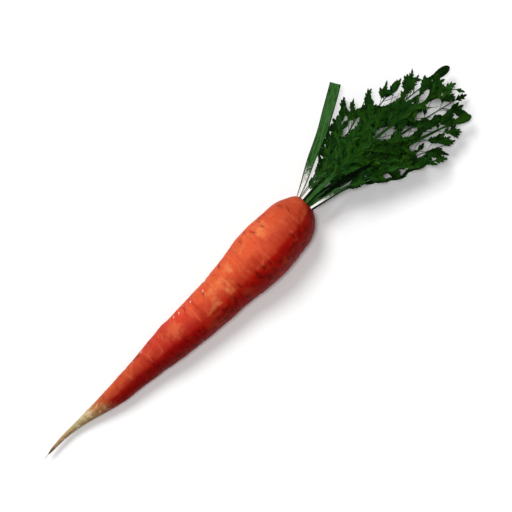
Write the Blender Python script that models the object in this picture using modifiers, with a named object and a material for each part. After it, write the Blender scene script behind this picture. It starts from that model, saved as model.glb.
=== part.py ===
"""A carrot as pulled and laid on a table: taproot, clipped leaf stalk and a fan of cut-leaved fronds.

The root lies along X with its tail towards -X and its leaves towards +X. Z is up from the table,
and the origin is the middle of the flat spot that the root rests on. All sizes are in metres.
"""

import math
import random

import bmesh
import bpy
from mathutils import Matrix, Vector

# Driving dimensions of the root
ROOT_LENGTH = 0.210
ROOT_RADIUS = 0.017
REST_SHARE = 0.69
REST_SAG = 0.00050
REST_HALF_SHARE = 0.21
SHOULDER_SHARE = 0.83
CROWN_RIM_RADIUS = 0.0078
CROWN_DEPTH = 0.0024
ROOT_SIDES = 24
ROOT_RINGS = 34
ROOT_SHARP_ANGLE = 40

# Further rings where the root rounds over to its crown, as shares of its length
CROWN_RINGS = (0.955, 0.966, 0.977, 0.986, 0.994)

# The sunk crown from its rim inwards: share of the rim's radius, share of the crown's depth
CROWN_STEPS = ((1.0, 0.0), (0.965, 0.5), (0.93, 1.0))

# Share of the root's length from the tail, and share of its largest radius
ROOT_PROFILE = (
    (0.000, 0.022),
    (0.033, 0.042),
    (0.077, 0.078),
    (0.121, 0.112),
    (0.166, 0.178),
    (0.210, 0.256),
    (0.277, 0.376),
    (0.366, 0.475),
    (0.476, 0.645),
    (0.587, 0.735),
    (0.698, 0.830),
    (0.765, 0.935),
    (0.831, 1.000),
    (0.898, 0.940),
    (0.934, 0.890),
    (0.956, 0.805),
    (0.970, 0.720),
    (0.982, 0.625),
    (0.992, 0.530),
    (1.000, 0.460),
)

# Share of the root's length from the tail, and how far its middle lies from the straight line
ROOT_BOW = (
    (0.00, -0.0002),
    (0.08, 0.0008),
    (0.15, -0.0002),
    (0.21, -0.0017),
    (0.28, -0.0029),
    (0.41, -0.0036),
    (0.61, -0.0048),
    (0.83, -0.0039),
    (0.94, -0.0029),
    (0.97, -0.0025),
    (1.00, -0.0010),
)

# Creases across the root: share of length, angle of the middle from the top, half its arc, depth
CREASE_HALF_WIDTH = 0.0014
CREASE_CLEARANCE = 1.6
CREASES = (
    (0.245, 10, 70, 0.00030),
    (0.330, 60, 60, 0.00035),
    (0.405, -30, 80, 0.00040),
    (0.475, 40, 65, 0.00055),
    (0.535, -60, 70, 0.00040),
    (0.590, 20, 75, 0.00055),
    (0.655, 75, 70, 0.00045),
    (0.700, -20, 60, 0.00060),
    (0.765, 35, 65, 0.00055),
    (0.860, -50, 75, 0.00035),
)

# Driving dimensions of the leaves, counted from the crown: X outwards, Y across, Z from the table
STALK_START = -0.0018
LAYER_LOW_AT_CROWN = 0.0139
LAYER_HIGH_AT_CROWN = 0.0212
LAYER_LOW_AT_TIPS = 0.0018
LAYER_SETTLE_REACH = 0.050
LAYER_RISE = 0.33
LAYER_DROOP = 2.85
LAYER_SIDE_FALL = 0.30
LAYER_SIDE_REACH = 0.036
LAYER_COUNT = 10
WAVE_HEIGHT = 0.0008
WAVE_LENGTH = 0.062
CAMBER_SHARE = 0.30
CAMBER_FROM = 0.010
CAMBER_REACH = 0.015

STALK_THICKNESS = 0.0014
LEAF_THICKNESS = 0.00065
RIB_HALF_WIDTH_AT_TIP = 0.00045
STALK_SWELL = 0.35
STALK_TAPER = 0.75
STALK_EDGE = 0.25
PINNA_SPACING = 0.0104
PINNA_ANGLE = 44
PINNA_ANGLE_SPREAD = 2
PINNA_CURL = 15
PINNA_RIB_WIDTH = 0.0014
PINNA_WIDTH_SPREAD = (0.94, 1.04)
PINNA_ROOM_SPREAD = (0.92, 1.12)
LEAFLET_STEP = 0.0042
LEAFLET_LENGTH = 0.0060
LEAFLET_ANGLE = 29
LEAFLET_BELLY = 0.10
LEAFLET_LONGEST = 1.04
LEAFLET_SHORTENING = 0.28
LONG_LOBE = 0.010
LONG_LOBE_WIDTH = 0.24
END_LOBE_WIDTH = 0.20
STALK_STEP = 0.0055
LONGEST_PINNA = 0.030
SHORTEST_PINNA = 0.0026
ROOM_STEP = 0.0005

# How far the leaves spread: distance out from the crown, reach to the left, reach to the right
SPREAD = (
    (0.000, 0.0050, -0.0050),
    (0.012, 0.0060, -0.0066),
    (0.020, 0.0105, -0.0092),
    (0.027, 0.0152, -0.0125),
    (0.037, 0.0195, -0.0205),
    (0.044, 0.0225, -0.0255),
    (0.055, 0.0220, -0.0300),
    (0.070, 0.0195, -0.0360),
    (0.080, 0.0155, -0.0385),
    (0.090, 0.0120, -0.0335),
    (0.097, 0.0090, -0.0295),
    (0.106, -0.0020, -0.0240),
    (0.116, -0.0040, -0.0210),
)

# Each frond: place across the crown, layer (9 is the top one), reach of its tip, sideways bow,
# where its blade starts, half the blade's width, half the stalk's width, length of its end lobe
FRONDS = (
    ("frond_01", 0.0035, 1, (0.0530, 0.0240), -0.0042, 0.018, 0.0110, 0.0008, 0.0070),
    ("frond_02", 0.0026, 7, (0.0660, 0.0180), -0.0025, 0.017, 0.0150, 0.0009, 0.0070),
    ("frond_03", 0.0017, 3, (0.0820, 0.0115), -0.0005, 0.016, 0.0165, 0.0010, 0.0075),
    ("frond_04", 0.0008, 5, (0.1010, -0.0005), 0.0030, 0.018, 0.0170, 0.0010, 0.0130),
    ("frond_05", -0.0003, 9, (0.1020, -0.0095), 0.0032, 0.025, 0.0170, 0.0015, 0.0085),
    ("frond_06", -0.0012, 2, (0.1030, -0.0185), 0.0020, 0.019, 0.0170, 0.0010, 0.0080),
    ("frond_07", -0.0022, 6, (0.0925, -0.0270), 0.0022, 0.022, 0.0155, 0.0016, 0.0120),
    ("frond_08", -0.0032, 4, (0.0800, -0.0325), 0.0020, 0.020, 0.0150, 0.0009, 0.0075),
    ("frond_09", -0.0042, 8, (0.0690, -0.0345), 0.0046, 0.022, 0.0130, 0.0015, 0.0090),
    ("frond_10", -0.0050, 0, (0.0510, -0.0240), 0.0028, 0.022, 0.0110, 0.0008, 0.0070),
)

# The clipped stalk: its middle line from the crown, and half its width at each point
CLIPPED_LAYER = 9
CLIPPED_LAYER_AT_CROWN = 4.5
CLIPPED_CLIMB_REACH = 0.020
CLIPPED_RISE = 0.0006
CLIPPED_THICKNESS = 0.0016
CLIPPED_LINE = (
    (-0.0014, 0.0047, 0.0009),
    (0.0060, 0.0080, 0.0016),
    (0.0130, 0.0116, 0.0021),
    (0.0200, 0.0152, 0.0024),
    (0.0280, 0.0187, 0.0027),
    (0.0360, 0.0225, 0.0030),
    (0.0440, 0.0271, 0.0032),
    (0.0520, 0.0317, 0.0033),
    (0.0597, 0.0363, 0.0032),
)

# Places across the clipped stalk as shares of half its width, and how stout it is at each
CLIPPED_COLUMNS = ((-1.0, 0.45), (-0.6, 0.75), (0.0, 1.0), (0.6, 0.75), (1.0, 0.45))

ORANGE = (0.78, 0.16, 0.045)
LEAF_GREEN = (0.035, 0.14, 0.03)
STALK_GREEN = (0.10, 0.28, 0.09)


def clear_scene():
    for obj in list(bpy.data.objects):
        bpy.data.objects.remove(obj, do_unlink=True)


def smooth_step(share):
    share = min(1.0, max(0.0, share))
    return share * share * (3 - 2 * share)


def along(points, at):
    """Value at a place along (place, value) points, joined by a smooth cubic."""
    at = min(max(at, points[0][0]), points[-1][0])
    last = len(points) - 2
    i = next((k for k in range(last) if at <= points[k + 1][0]), last)

    def slope(k):
        low, high = points[max(k - 1, 0)], points[min(k + 1, last + 1)]
        return (high[1] - low[1]) / (high[0] - low[0])

    (x0, y0), (x1, y1) = points[i], points[i + 1]
    span = x1 - x0
    t = (at - x0) / span
    return (
        y0 * (1 + 2 * t) * (1 - t) ** 2
        + slope(i) * span * t * (1 - t) ** 2
        + y1 * t * t * (3 - 2 * t)
        + slope(i + 1) * span * t * t * (t - 1)
    )


def surface(name, colour, roughness):
    material = bpy.data.materials.new(name)
    material.use_nodes = True
    shader = material.node_tree.nodes["Principled BSDF"]
    shader.inputs["Base Color"].default_value = (*colour, 1)
    shader.inputs["Roughness"].default_value = roughness
    shader.inputs["Metallic"].default_value = 0.0
    material.diffuse_color = (*colour, 1)
    return material


def root_middle(share):
    """Middle of the root at a share of its length: across, and above the table."""
    belly = along(ROOT_PROFILE, min(share, SHOULDER_SHARE)) * ROOT_RADIUS
    lift = REST_SAG * (((share - REST_SHARE) / REST_HALF_SHARE) ** 2 - 1)
    return along(ROOT_BOW, share), belly + lift


def crease_depth(share, angle):
    """How far the creases cut in at a share of the length and an angle round from the top."""
    depth = 0.0
    for place, middle, half_arc, deepest in CREASES:
        away = (share - place) * ROOT_LENGTH / CREASE_HALF_WIDTH
        turn = (math.degrees(angle) - middle + 180) % 360 - 180
        if abs(away) < 1 and abs(turn) < half_arc:
            depth += deepest * (1 - away * away) * math.cos(math.pi / 2 * turn / half_arc)
    return depth


def root_rings():
    """Rings of the root from tail to crown, as (share of length, share of radius, set back)."""
    shares = {i / ROOT_RINGS for i in range(1, ROOT_RINGS - 1)} | set(CROWN_RINGS)
    side = CREASE_HALF_WIDTH / ROOT_LENGTH
    for place, *_ in CREASES:
        shares = {s for s in shares if abs(s - place) > CREASE_CLEARANCE * side}
        shares |= {place - side, place, place + side}
    rings = [(s, along(ROOT_PROFILE, s), 0.0) for s in sorted(shares)]
    rim = CROWN_RIM_RADIUS / ROOT_RADIUS
    return rings + [(1.0, wide * rim, deep * CROWN_DEPTH) for wide, deep in CROWN_STEPS]


def make_root(material, crown):
    """The taproot: a sphere drawn out along the profile, creased, with the crown sunk in."""
    rings = root_rings()
    bm = bmesh.new()
    bmesh.ops.create_uvsphere(
        bm, u_segments=ROOT_SIDES, v_segments=len(rings) + 1, radius=1.0
    )
    rest_across, _ = root_middle(REST_SHARE)
    for vert in bm.verts:
        turn = math.acos(max(-1.0, min(1.0, vert.co.z)))
        index = round((1 - turn / math.pi) * (len(rings) + 1)) - 1
        if index < 0:
            share, wide, back = 0.0, 0.0, 0.0
        elif index >= len(rings):
            share, wide, back = 1.0, 0.0, CROWN_DEPTH
        else:
            share, wide, back = rings[index]
        angle = math.atan2(-vert.co.x, vert.co.y)
        radius = wide * ROOT_RADIUS
        if 0 <= index < len(rings) - len(CROWN_STEPS):
            radius -= crease_depth(share, angle)
        across, height = root_middle(share)
        vert.co = Vector(
            (
                (share - REST_SHARE) * ROOT_LENGTH - back,
                across - rest_across + radius * math.sin(angle),
                height + radius * math.cos(angle),
            )
        )
    flatten_underside(bm)
    mesh = bpy.data.meshes.new("taproot")
    bmesh.ops.recalc_face_normals(bm, faces=bm.faces)
    bm.to_mesh(mesh)
    bm.free()
    mesh.shade_smooth()
    mesh.set_sharp_from_angle(angle=math.radians(ROOT_SHARP_ANGLE))
    mesh.materials.append(material)
    root = bpy.data.objects.new("taproot", mesh)
    crown.objects.link(root)
    return root


def flatten_underside(bm):
    """Cuts the flat spot that the root rests on, at the table's height."""
    geometry = bm.verts[:] + bm.edges[:] + bm.faces[:]
    cut = bmesh.ops.bisect_plane(
        bm,
        geom=geometry,
        dist=1e-7,
        plane_co=(0, 0, 0),
        plane_no=(0, 0, -1),
        clear_outer=True,
    )
    rim = [e for e in cut["geom_cut"] if isinstance(e, bmesh.types.BMEdge)]
    bmesh.ops.contextual_create(bm, geom=rim)


def layer_height(layer, x, y):
    """Height of a leaf layer above the table, x and y from the crown. Layers never cross."""
    reach = math.hypot(x, y)
    low = LAYER_LOW_AT_TIPS + (LAYER_LOW_AT_CROWN - LAYER_LOW_AT_TIPS) * (
        1 - smooth_step(reach / LAYER_SETTLE_REACH)
    )
    high = LAYER_HIGH_AT_CROWN + LAYER_RISE * reach - LAYER_DROOP * reach * reach
    side = LAYER_SIDE_FALL * min(1.0, (y / LAYER_SIDE_REACH) ** 2)
    share = layer / (LAYER_COUNT - 1)
    wave = WAVE_HEIGHT * math.sin(2 * math.pi * (x + 0.6 * y) / WAVE_LENGTH)
    blade_share = smooth_step(reach / LAYER_SETTLE_REACH)
    return low + (high - low) * (1 - side) * share + wave * share * blade_share


def layer_gap(x, y):
    """Height between two neighbouring layers."""
    return (layer_height(LAYER_COUNT - 1, x, y) - layer_height(0, x, y)) / (LAYER_COUNT - 1)


def turned(vector, degrees):
    return Matrix.Rotation(math.radians(degrees), 2) @ vector


class LeafSheet:
    """A leaf drawn flat in plan: points with a stoutness from 0 (blade) to 1 (stalk), and faces."""

    def __init__(self):
        self.bm = bmesh.new()
        self.stout = []

    def point(self, place, stout=0.0):
        self.stout.append(stout)
        return self.bm.verts.new((place.x, place.y, 0))

    def face(self, *corners):
        made = self.bm.faces.new(corners)
        made.normal_update()
        if made.normal.z < 0:
            made.normal_flip()

    def leaflet(self, near, far, heading, length):
        """A pointed lobe on the rib's edge from near to far, its belly on the near side."""
        middle = (near.co.xy + far.co.xy) / 2
        tip = middle + heading * length
        outward = near.co.xy - far.co.xy
        belly = near.co.xy.lerp(tip, 0.5) + outward.normalized() * LEAFLET_BELLY * length
        self.face(near, self.point(belly), self.point(tip), far)

    def end_lobe(self, back, front, heading, length, wide=END_LOBE_WIDTH):
        """The lobe that ends a rib, broadest at its middle."""
        middle = (back.co.xy + front.co.xy) / 2
        side = turned(heading, 90) * length * wide
        if side.dot(back.co.xy - middle) < 0:
            side = -side
        belly_back = self.point(middle + heading * 0.5 * length + side)
        belly_front = self.point(middle + heading * 0.5 * length - side)
        tip = self.point(middle + heading * length)
        self.face(back, belly_back, belly_front, front)
        self.face(belly_back, tip, belly_front)

    def pinna(self, back, front, heading, curl, length):
        """A side rib from the stalk's edge, cut to the rib into leaflets, curling forwards."""
        middle = (back.co.xy + front.co.xy) / 2
        if length < LEAFLET_LENGTH + LEAFLET_STEP:
            self.end_lobe(back, front, heading, max(SHORTEST_PINNA, length))
            return
        pairs = round((length - LEAFLET_LENGTH) / LEAFLET_STEP) - 1
        forward = 1 if turned(heading, 90).dot(front.co.xy - back.co.xy) > 0 else -1
        ends = [back, front]
        for k in range(pairs + 1):
            share = (k + 1) / (pairs + 1)
            turn_now = turned(heading, forward * curl * share)
            middle = middle + turn_now * LEAFLET_STEP
            side = turned(turn_now, 90 * forward) * PINNA_RIB_WIDTH * (0.5 - 0.25 * share)
            new = [self.point(middle - side), self.point(middle + side)]
            self.face(ends[0], new[0], new[1], ends[1])
            if k:
                reach = LEAFLET_LENGTH * (LEAFLET_LONGEST - LEAFLET_SHORTENING * share)
                away = LEAFLET_ANGLE * forward
                self.leaflet(ends[0], new[0], turned(turn_now, -away), reach)
                self.leaflet(ends[1], new[1], turned(turn_now, away), reach)
            ends = new
        self.end_lobe(ends[0], ends[1], turned(heading, forward * curl), LEAFLET_LENGTH)

    def to_object(self, name, material, layer, parent, collection, stalk_thickness):
        """Lifts the sheet onto its layer and gives it its thickness."""
        bmesh.ops.triangulate(self.bm, faces=self.bm.faces)
        mesh = bpy.data.meshes.new(name)
        self.bm.to_mesh(mesh)
        self.bm.free()
        mesh.materials.append(material)
        leaf = bpy.data.objects.new(name, mesh)
        leaf.parent = parent
        collection.objects.link(leaf)
        stalk = leaf.vertex_groups.new(name="stalk")
        for index, stout in enumerate(self.stout):
            stalk.add([index], stout, "REPLACE")
        for vert in mesh.vertices:
            vert.co.z = layer(vert.co.x, vert.co.y)
        wall = leaf.modifiers.new("Thickness", "SOLIDIFY")
        wall.thickness = stalk_thickness
        wall.offset = 0.0
        wall.vertex_group = stalk.name
        wall.thickness_vertex_group = LEAF_THICKNESS / stalk_thickness
        return leaf


class Rachis:
    """A frond's middle line in plan, a quadratic curve from the crown to its tip."""

    def __init__(self, across, tip, bow):
        self.start = Vector((STALK_START, across))
        self.end = Vector(tip)
        chord = self.end - self.start
        self.length = chord.length
        side = Vector((-chord.y, chord.x)).normalized()
        self.pull = (self.start + self.end) / 2 + side * 2 * bow

    def at(self, distance):
        t = distance / self.length
        return (
            self.start * (1 - t) ** 2 + self.pull * 2 * t * (1 - t) + self.end * t * t
        )

    def heading(self, distance):
        t = distance / self.length
        slope = (self.pull - self.start) * (1 - t) + (self.end - self.pull) * t
        return slope.normalized()


def room(place, heading):
    """Distance from a place to the edge of the leaves' spread, along a heading."""
    left = tuple((out, reach) for out, reach, _ in SPREAD)
    right = tuple((out, reach) for out, _, reach in SPREAD)
    distance = 0.0
    while distance < LONGEST_PINNA:
        spot = place + heading * distance
        if not along(right, spot.x) < spot.y < along(left, spot.x) or spot.x > SPREAD[-1][0]:
            break
        distance += ROOM_STEP
    return distance


def blade_outline(share):
    """Length of the side ribs along the blade, as a share of the longest."""
    if share < 0.3:
        return 0.55 + 0.45 * math.sin(math.pi / 2 * share / 0.3)
    return 1 - 0.62 * ((share - 0.3) / 0.7) ** 1.6


def make_frond(spec, material, crown, collection):
    """One frond: stalk and ribs in one sheet, with its pinnae in opposite pairs."""
    name, across, layer, tip, bow, blade_start, half_width, stalk_half, end_length = spec
    rng = random.Random(name)
    rachis = Rachis(across, tip, bow)
    pairs = max(3, round((rachis.length - blade_start) / PINNA_SPACING))
    spacing = (rachis.length - blade_start) / pairs
    joints = [blade_start + spacing * k for k in range(pairs)]
    stalk_steps = max(2, round(blade_start / STALK_STEP))
    stops = [blade_start * k / stalk_steps for k in range(stalk_steps)]
    stops += [j + side * PINNA_RIB_WIDTH / 2 for j in joints for side in (-1, 1)]
    stops.append(rachis.length)
    sheet = LeafSheet()
    rows = []
    for stop in stops:
        share = stop / rachis.length
        swell = 1 + STALK_SWELL * math.sin(math.pi * min(1.0, stop / blade_start))
        half = max(RIB_HALF_WIDTH_AT_TIP, stalk_half * swell * (1 - STALK_TAPER * share))
        side = turned(rachis.heading(stop), 90) * half
        place = rachis.at(stop)
        edge = STALK_EDGE * (1 - share)
        rows.append(
            (
                sheet.point(place + side, edge),
                sheet.point(place, 1 - 0.8 * share),
                sheet.point(place - side, edge),
            )
        )
    for low, high in zip(rows, rows[1:]):
        sheet.face(low[0], low[1], high[1], high[0])
        sheet.face(low[1], low[2], high[2], high[1])
    for number, joint in enumerate(joints):
        first = stalk_steps + 2 * number
        low, high = rows[first], rows[first + 1]
        for side, sign in ((0, 1), (2, -1)):
            angle = PINNA_ANGLE + rng.uniform(-PINNA_ANGLE_SPREAD, PINNA_ANGLE_SPREAD)
            reach = half_width * blade_outline(number / pairs)
            reach *= rng.uniform(*PINNA_WIDTH_SPREAD)
            length = reach / math.sin(math.radians(PINNA_ANGLE - PINNA_CURL / 2))
            heading = turned(rachis.heading(joint), sign * angle)
            free = room(rachis.at(joint), heading) * rng.uniform(*PINNA_ROOM_SPREAD)
            length = min(length, free)
            sheet.pinna(low[side], high[side], heading, PINNA_CURL, length)
    heading = rachis.heading(rachis.length)
    broad = LONG_LOBE_WIDTH if end_length > LONG_LOBE else END_LOBE_WIDTH
    sheet.end_lobe(rows[-1][0], rows[-1][2], heading, end_length, broad)
    sheet.face(rows[-1][0], rows[-1][1], rows[-1][2])

    def height(x, y):
        nearest = min(
            (Vector((x, y)) - rachis.at(rachis.length * k / 24)).length for k in range(25)
        )
        droop = CAMBER_SHARE * min(1.0, nearest / half_width) ** 2
        blade = smooth_step((math.hypot(x, y) - CAMBER_FROM) / CAMBER_REACH)
        return layer_height(layer, x, y) - droop * blade * layer_gap(x, y)

    return sheet.to_object(name, material, height, crown, collection, STALK_THICKNESS)


def make_clipped_stalk(material, crown, collection):
    """The broad leaf stalk cut off short: a channelled strap that narrows to the crown."""
    sheet = LeafSheet()
    rows = []
    last = len(CLIPPED_LINE) - 1
    for index, (x, y, half) in enumerate(CLIPPED_LINE):
        before = Vector(CLIPPED_LINE[max(index - 1, 0)][:2])
        after = Vector(CLIPPED_LINE[min(index + 1, last)][:2])
        side = turned((after - before).normalized(), 90)
        rows.append(
            [
                sheet.point(Vector((x, y)) + side * column * half, stout)
                for column, stout in CLIPPED_COLUMNS
            ]
        )
    for low, high in zip(rows, rows[1:]):
        for k in range(len(CLIPPED_COLUMNS) - 1):
            sheet.face(low[k], low[k + 1], high[k + 1], high[k])

    def height(x, y):
        middle = min(
            (Vector((x, y)) - Vector(point[:2])).length for point in CLIPPED_LINE
        )
        channel = CLIPPED_RISE * min(1.0, middle / CLIPPED_LINE[-2][2]) ** 2
        climb = (CLIPPED_LAYER - CLIPPED_LAYER_AT_CROWN) * smooth_step(
            x / CLIPPED_CLIMB_REACH
        )
        return layer_height(CLIPPED_LAYER_AT_CROWN + climb, x, y) + channel

    return sheet.to_object(
        "clipped_stalk", material, height, crown, collection, CLIPPED_THICKNESS
    )


def main():
    clear_scene()
    collection = bpy.data.collections.new("carrot")
    bpy.context.scene.collection.children.link(collection)
    make_root(surface("root_skin", ORANGE, 0.42), collection)
    crown = bpy.data.objects.new("crown", None)
    crown.location = ((1 - REST_SHARE) * ROOT_LENGTH, -root_middle(REST_SHARE)[0], 0.0)
    collection.objects.link(crown)
    leaf_green = surface("leaf_green", LEAF_GREEN, 0.55)
    stalk_green = surface("stalk_green", STALK_GREEN, 0.50)
    make_clipped_stalk(stalk_green, crown, collection)
    for spec in FRONDS:
        make_frond(spec, leaf_green, crown, collection)


main()
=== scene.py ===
"""Dresses the carrot: skinned root, clipped stalk, cut-leaved fronds, and a pale studio floor."""

import math
import random

import bmesh
import bpy
import numpy as np
from bpy.props import FloatProperty, FloatVectorProperty, IntProperty, PointerProperty
from bpy.types import NodeSocket, Operator, Panel, PropertyGroup
from mathutils import Euler, Matrix, Vector, noise


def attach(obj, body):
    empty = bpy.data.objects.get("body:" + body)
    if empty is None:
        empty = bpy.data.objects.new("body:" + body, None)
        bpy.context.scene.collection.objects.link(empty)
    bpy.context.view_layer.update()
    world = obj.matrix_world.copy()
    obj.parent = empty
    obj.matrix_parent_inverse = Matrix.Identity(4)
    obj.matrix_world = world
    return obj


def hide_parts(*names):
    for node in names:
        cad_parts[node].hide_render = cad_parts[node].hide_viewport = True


bl_info = {
    "name": "Carrot with leaves",
    "version": (1, 0, 0),
    "blender": (4, 5, 0),
    "location": "3D View > Sidebar > Carrot",
    "description": "Makes a carrot's root, clipped stalk and fronds over its frame",
    "category": "Add Mesh",
}

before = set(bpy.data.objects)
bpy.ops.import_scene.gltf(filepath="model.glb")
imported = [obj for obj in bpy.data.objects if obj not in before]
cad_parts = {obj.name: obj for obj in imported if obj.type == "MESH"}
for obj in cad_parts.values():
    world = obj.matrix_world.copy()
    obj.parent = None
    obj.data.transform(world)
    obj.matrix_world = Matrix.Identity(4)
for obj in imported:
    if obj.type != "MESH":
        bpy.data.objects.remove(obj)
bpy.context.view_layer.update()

# Driving dimensions of the root, in metres
ROOT_LENGTH = 0.210
ROOT_RADIUS = 0.017
REST_SHARE = 0.69
REST_SAG = 0.00050
REST_HALF_SHARE = 0.21
TAIL_SHARE = 0.262
SHOULDER_SHARE = 0.83
CROWN_RIM_RADIUS = 0.0053
ROOT_ROWS = 372
ROOT_SIDES = 176
LUMP_SCALE = (70, 95, 95)
WRINKLE_SCALE = (260, 2.6, 2.6)
SMOOTH_BELOW_RADIUS = 0.006

# Rootlets: where on the root, which way they lean and sag, and their size
ROOTLET_SHARES = (0.14, 0.62)
ROOTLET_ANGLES = (58, 104)
ROOTLET_LEAN = ((-1.6, 0.1), (-0.5, 0.3))
ROOTLET_SAG = ((-0.3, 0.1), (-0.5, -0.1))
ROOTLET_LENGTHS = (0.0010, 0.0024)
ROOTLET_RADIUS = 0.00009
ROOTLET_TAPER = 0.7
ROOTLET_ASIDE = (0.3, 0.2, 0.1)
ROOTLET_RINGS = 7
ROOTLET_SIDES = 5

# Share of the root's length from the tail, and share of its largest radius
ROOT_PROFILE = (
    (0.000, 0.008), (0.014, 0.010), (0.022, 0.032), (0.033, 0.046), (0.077, 0.080),
    (0.121, 0.112), (0.166, 0.178), (0.210, 0.256), (0.277, 0.376), (0.366, 0.475),
    (0.476, 0.645), (0.587, 0.735), (0.698, 0.830), (0.765, 0.935), (0.831, 1.000),
    (0.898, 0.940), (0.934, 0.890), (0.956, 0.795), (0.970, 0.700), (0.982, 0.590),
    (0.992, 0.465), (1.000, 0.310),
)

# Share of the root's length from the tail, and how far its middle lies from the straight line
ROOT_BOW = (
    (0.00, -0.0002), (0.08, 0.0008), (0.15, -0.0002), (0.21, -0.0017), (0.28, -0.0029),
    (0.41, -0.0036), (0.61, -0.0048), (0.83, -0.0039), (0.94, -0.0029), (0.97, -0.0025),
    (1.00, -0.0010),
)

# Rows that close the crown: share of the rim's radius, and how far they are set back
CROWN_ROWS = (
    (0.985, 0.0001), (0.970, 0.0006), (0.950, 0.0014), (0.900, 0.0021), (0.800, 0.0023),
    (0.650, 0.0020), (0.500, 0.0017), (0.300, 0.0016), (0.120, 0.0016),
)
CROWN_GREEN_START = 0.35
CROWN_GREEN_STEP = 0.12

# Colours along the tail, from its tip to where the orange skin starts
TAIL_COLOURS = (
    (0.00, (0.34, 0.28, 0.20)), (0.06, (0.24, 0.17, 0.10)), (0.09, (0.045, 0.027, 0.012)),
    (0.13, (0.070, 0.042, 0.018)), (0.18, (0.30, 0.20, 0.10)), (0.30, (0.44, 0.31, 0.15)),
    (0.50, (0.42, 0.35, 0.18)), (0.64, (0.56, 0.43, 0.22)), (0.78, (0.45, 0.20, 0.06)),
    (1.00, (0.50, 0.09, 0.02)),
)

# Main creases across the root: share of length, angle of the middle from the top, half its arc, depth
CREASES = (
    (0.245, 10, 70, 0.00030),
    (0.330, 60, 60, 0.00035),
    (0.405, -30, 80, 0.00040),
    (0.475, 40, 65, 0.00055),
    (0.535, -60, 70, 0.00040),
    (0.590, 20, 75, 0.00055),
    (0.655, 75, 70, 0.00045),
    (0.700, -20, 60, 0.00060),
    (0.765, 35, 65, 0.00055),
    (0.860, -50, 75, 0.00035),
)
CREASE_REACH = 0.00077
# Reach and strength of the painted shade in the main creases
CREASE_SHADE_REACH = 0.0005
CREASE_SHADE_DARKNESS = 0.30

# Small creases scattered at random: narrow ones and, for a share of them, broad ones
SMALL_FROM = 0.14
SMALL_OVER = 0.83
SMALL_CROWDING = 0.8
SMALL_LEAN = 0.0016
SMALL_SWAY = 0.0003
SMALL_SWAY_ARC = 9
SMALL_DEPTHS = (0.00008, 0.00030)
DARKEST_DEPTH = 0.00024
NARROW_ARCS = (7, 17)
NARROW_ARC_GROWTH = 6
NARROW_WIDTHS = (0.00038, 0.00085)
NARROW_SHADE = 0.95
BROAD_SHARE = 0.40
BROAD_ARCS = (8, 13)
BROAD_WIDTHS = (0.0008, 0.0014)
BROAD_SHADE = 0.85
LIP_AWAY = 2.2
LIP_WIDTH = 1.6
LIP_HEIGHT = 0.30

# Swellings of the outline: share of length, angle, height, length along, arc
SWELLINGS = (
    (0.790, 90, 0.00045, 0.0045, 40),
    (0.481, 90, 0.00050, 0.0040, 45),
    (0.640, -80, 0.00030, 0.0060, 45),
    (0.560, 30, 0.00025, 0.0055, 50),
)

# Pale raised scars on the lit side, set where glints fall, their paleness a painted highlight: share of
# length, angle from the top
GLINT_SCARS = ((0.633, 48), (0.588, 54), (0.544, 55), (0.526, 60), (0.395, 62), (0.360, 64))
SCAR_WIDTH = 0.00042
SCAR_ARC = 5.0
SCAR_SLANT = 0.00008
SCAR_HEIGHT = 0.00022
SCAR_STRENGTH = 1.3
SCAR_CUT_OFF = 0.25

# The flank's painted shade, dark red on the side turned from the key light: degrees from the top where it
# rises, and a sharper ledge below the shoulder
FLANK_RISE = (-41, 50)
FLANK_LEDGE = (11, 22)
FLANK_LEDGE_START = (0.74, 0.82)
FLANK_LEDGE_END = (0.965, 0.995)
FLANK_LEDGE_HEIGHT = (0.12, 0.36)
FLANK_FADE = (72, 117)
FLANK_FADE_DEPTH = 0.45
FLANK_TWIST = 14
FLANK_TWIST_END = (0.30, 0.65)

# Driving dimensions of the leaves, counted from the crown: X outwards, Y across, Z from the table
STALK_START = -0.0018
LAYER_LOW_AT_CROWN = 0.0139
LAYER_HIGH_AT_CROWN = 0.0212
LAYER_LOW_AT_TIPS = 0.0018
LAYER_SETTLE_REACH = 0.050
LAYER_RISE = 0.33
LAYER_DROOP = 2.85
LAYER_SIDE_FALL = 0.30
LAYER_SIDE_REACH = 0.036
LAYER_COUNT = 10
WAVE_HEIGHT = 0.0008
WAVE_LENGTH = 0.062
WAVE_SLANT = 0.6
CAMBER_SHARE = 0.30
CAMBER_FROM = 0.010
CAMBER_REACH = 0.015

STALK_SWELL = 0.35
STALK_TAPER = 0.75
PINNA_SPACING = 0.0104
PINNA_ANGLE = 44
PINNA_ANGLE_SPREAD = 2
PINNA_CURL = 15
PINNA_WIDTH_SPREAD = (0.94, 1.04)
PINNA_ROOM_SPREAD = (0.92, 1.12)
LEAFLET_STEP = 0.0042
LEAFLET_LENGTH = 0.0060
LEAFLET_DROOP = 0.10
LEAFLET_ANGLE = 29
LEAFLET_LONGEST = 1.04
LEAFLET_SHORTENING = 0.28
LONGEST_PINNA = 0.030
SHORTEST_PINNA = 0.0026
ROOM_STEP = 0.0005

# How a leaflet lies: turns tried to clear an opening, then the random tilt, tint and size
LEAF_SWINGS = (0, -14, 14, -28, 28, 42)
LEAF_TILT = ((-1.6, 1.6), (-0.7, 0.5), (-0.6, 0.6))
SLOPE_STEP = 0.0015
SHADE_SPREAD = 0.16
GROWTH_SPREAD = (0.92, 1.22)
LEAFLET_SWING = (-7, 7)
FIRST_PAIR_SHARE = 0.62
SECOND_PAIR_SHARE = 0.8
COVER_SPREAD = (0.9, 1.3)
COVER_LEAN = (4, 24)
MIDDLE_PARTS = 24
GAP_PULL = 300
GAP_OVERLAP = (0.0024, 0.0036)
OVAL_END_FROM = 0.0095
STRAY_RIB_RADIUS = 0.00030
STRAY_RIB_PARTS = 4
BREADTHS = (0.75, 1.05)
SECOND_BREADTHS = (0.70, 1.0)
SECOND_LEAN = (-10, 8)
SECOND_PAIR_AT = 0.98
END_LEAFLET_SHARE = 1.05
SHADE_MIDDLE = 0.46
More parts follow.
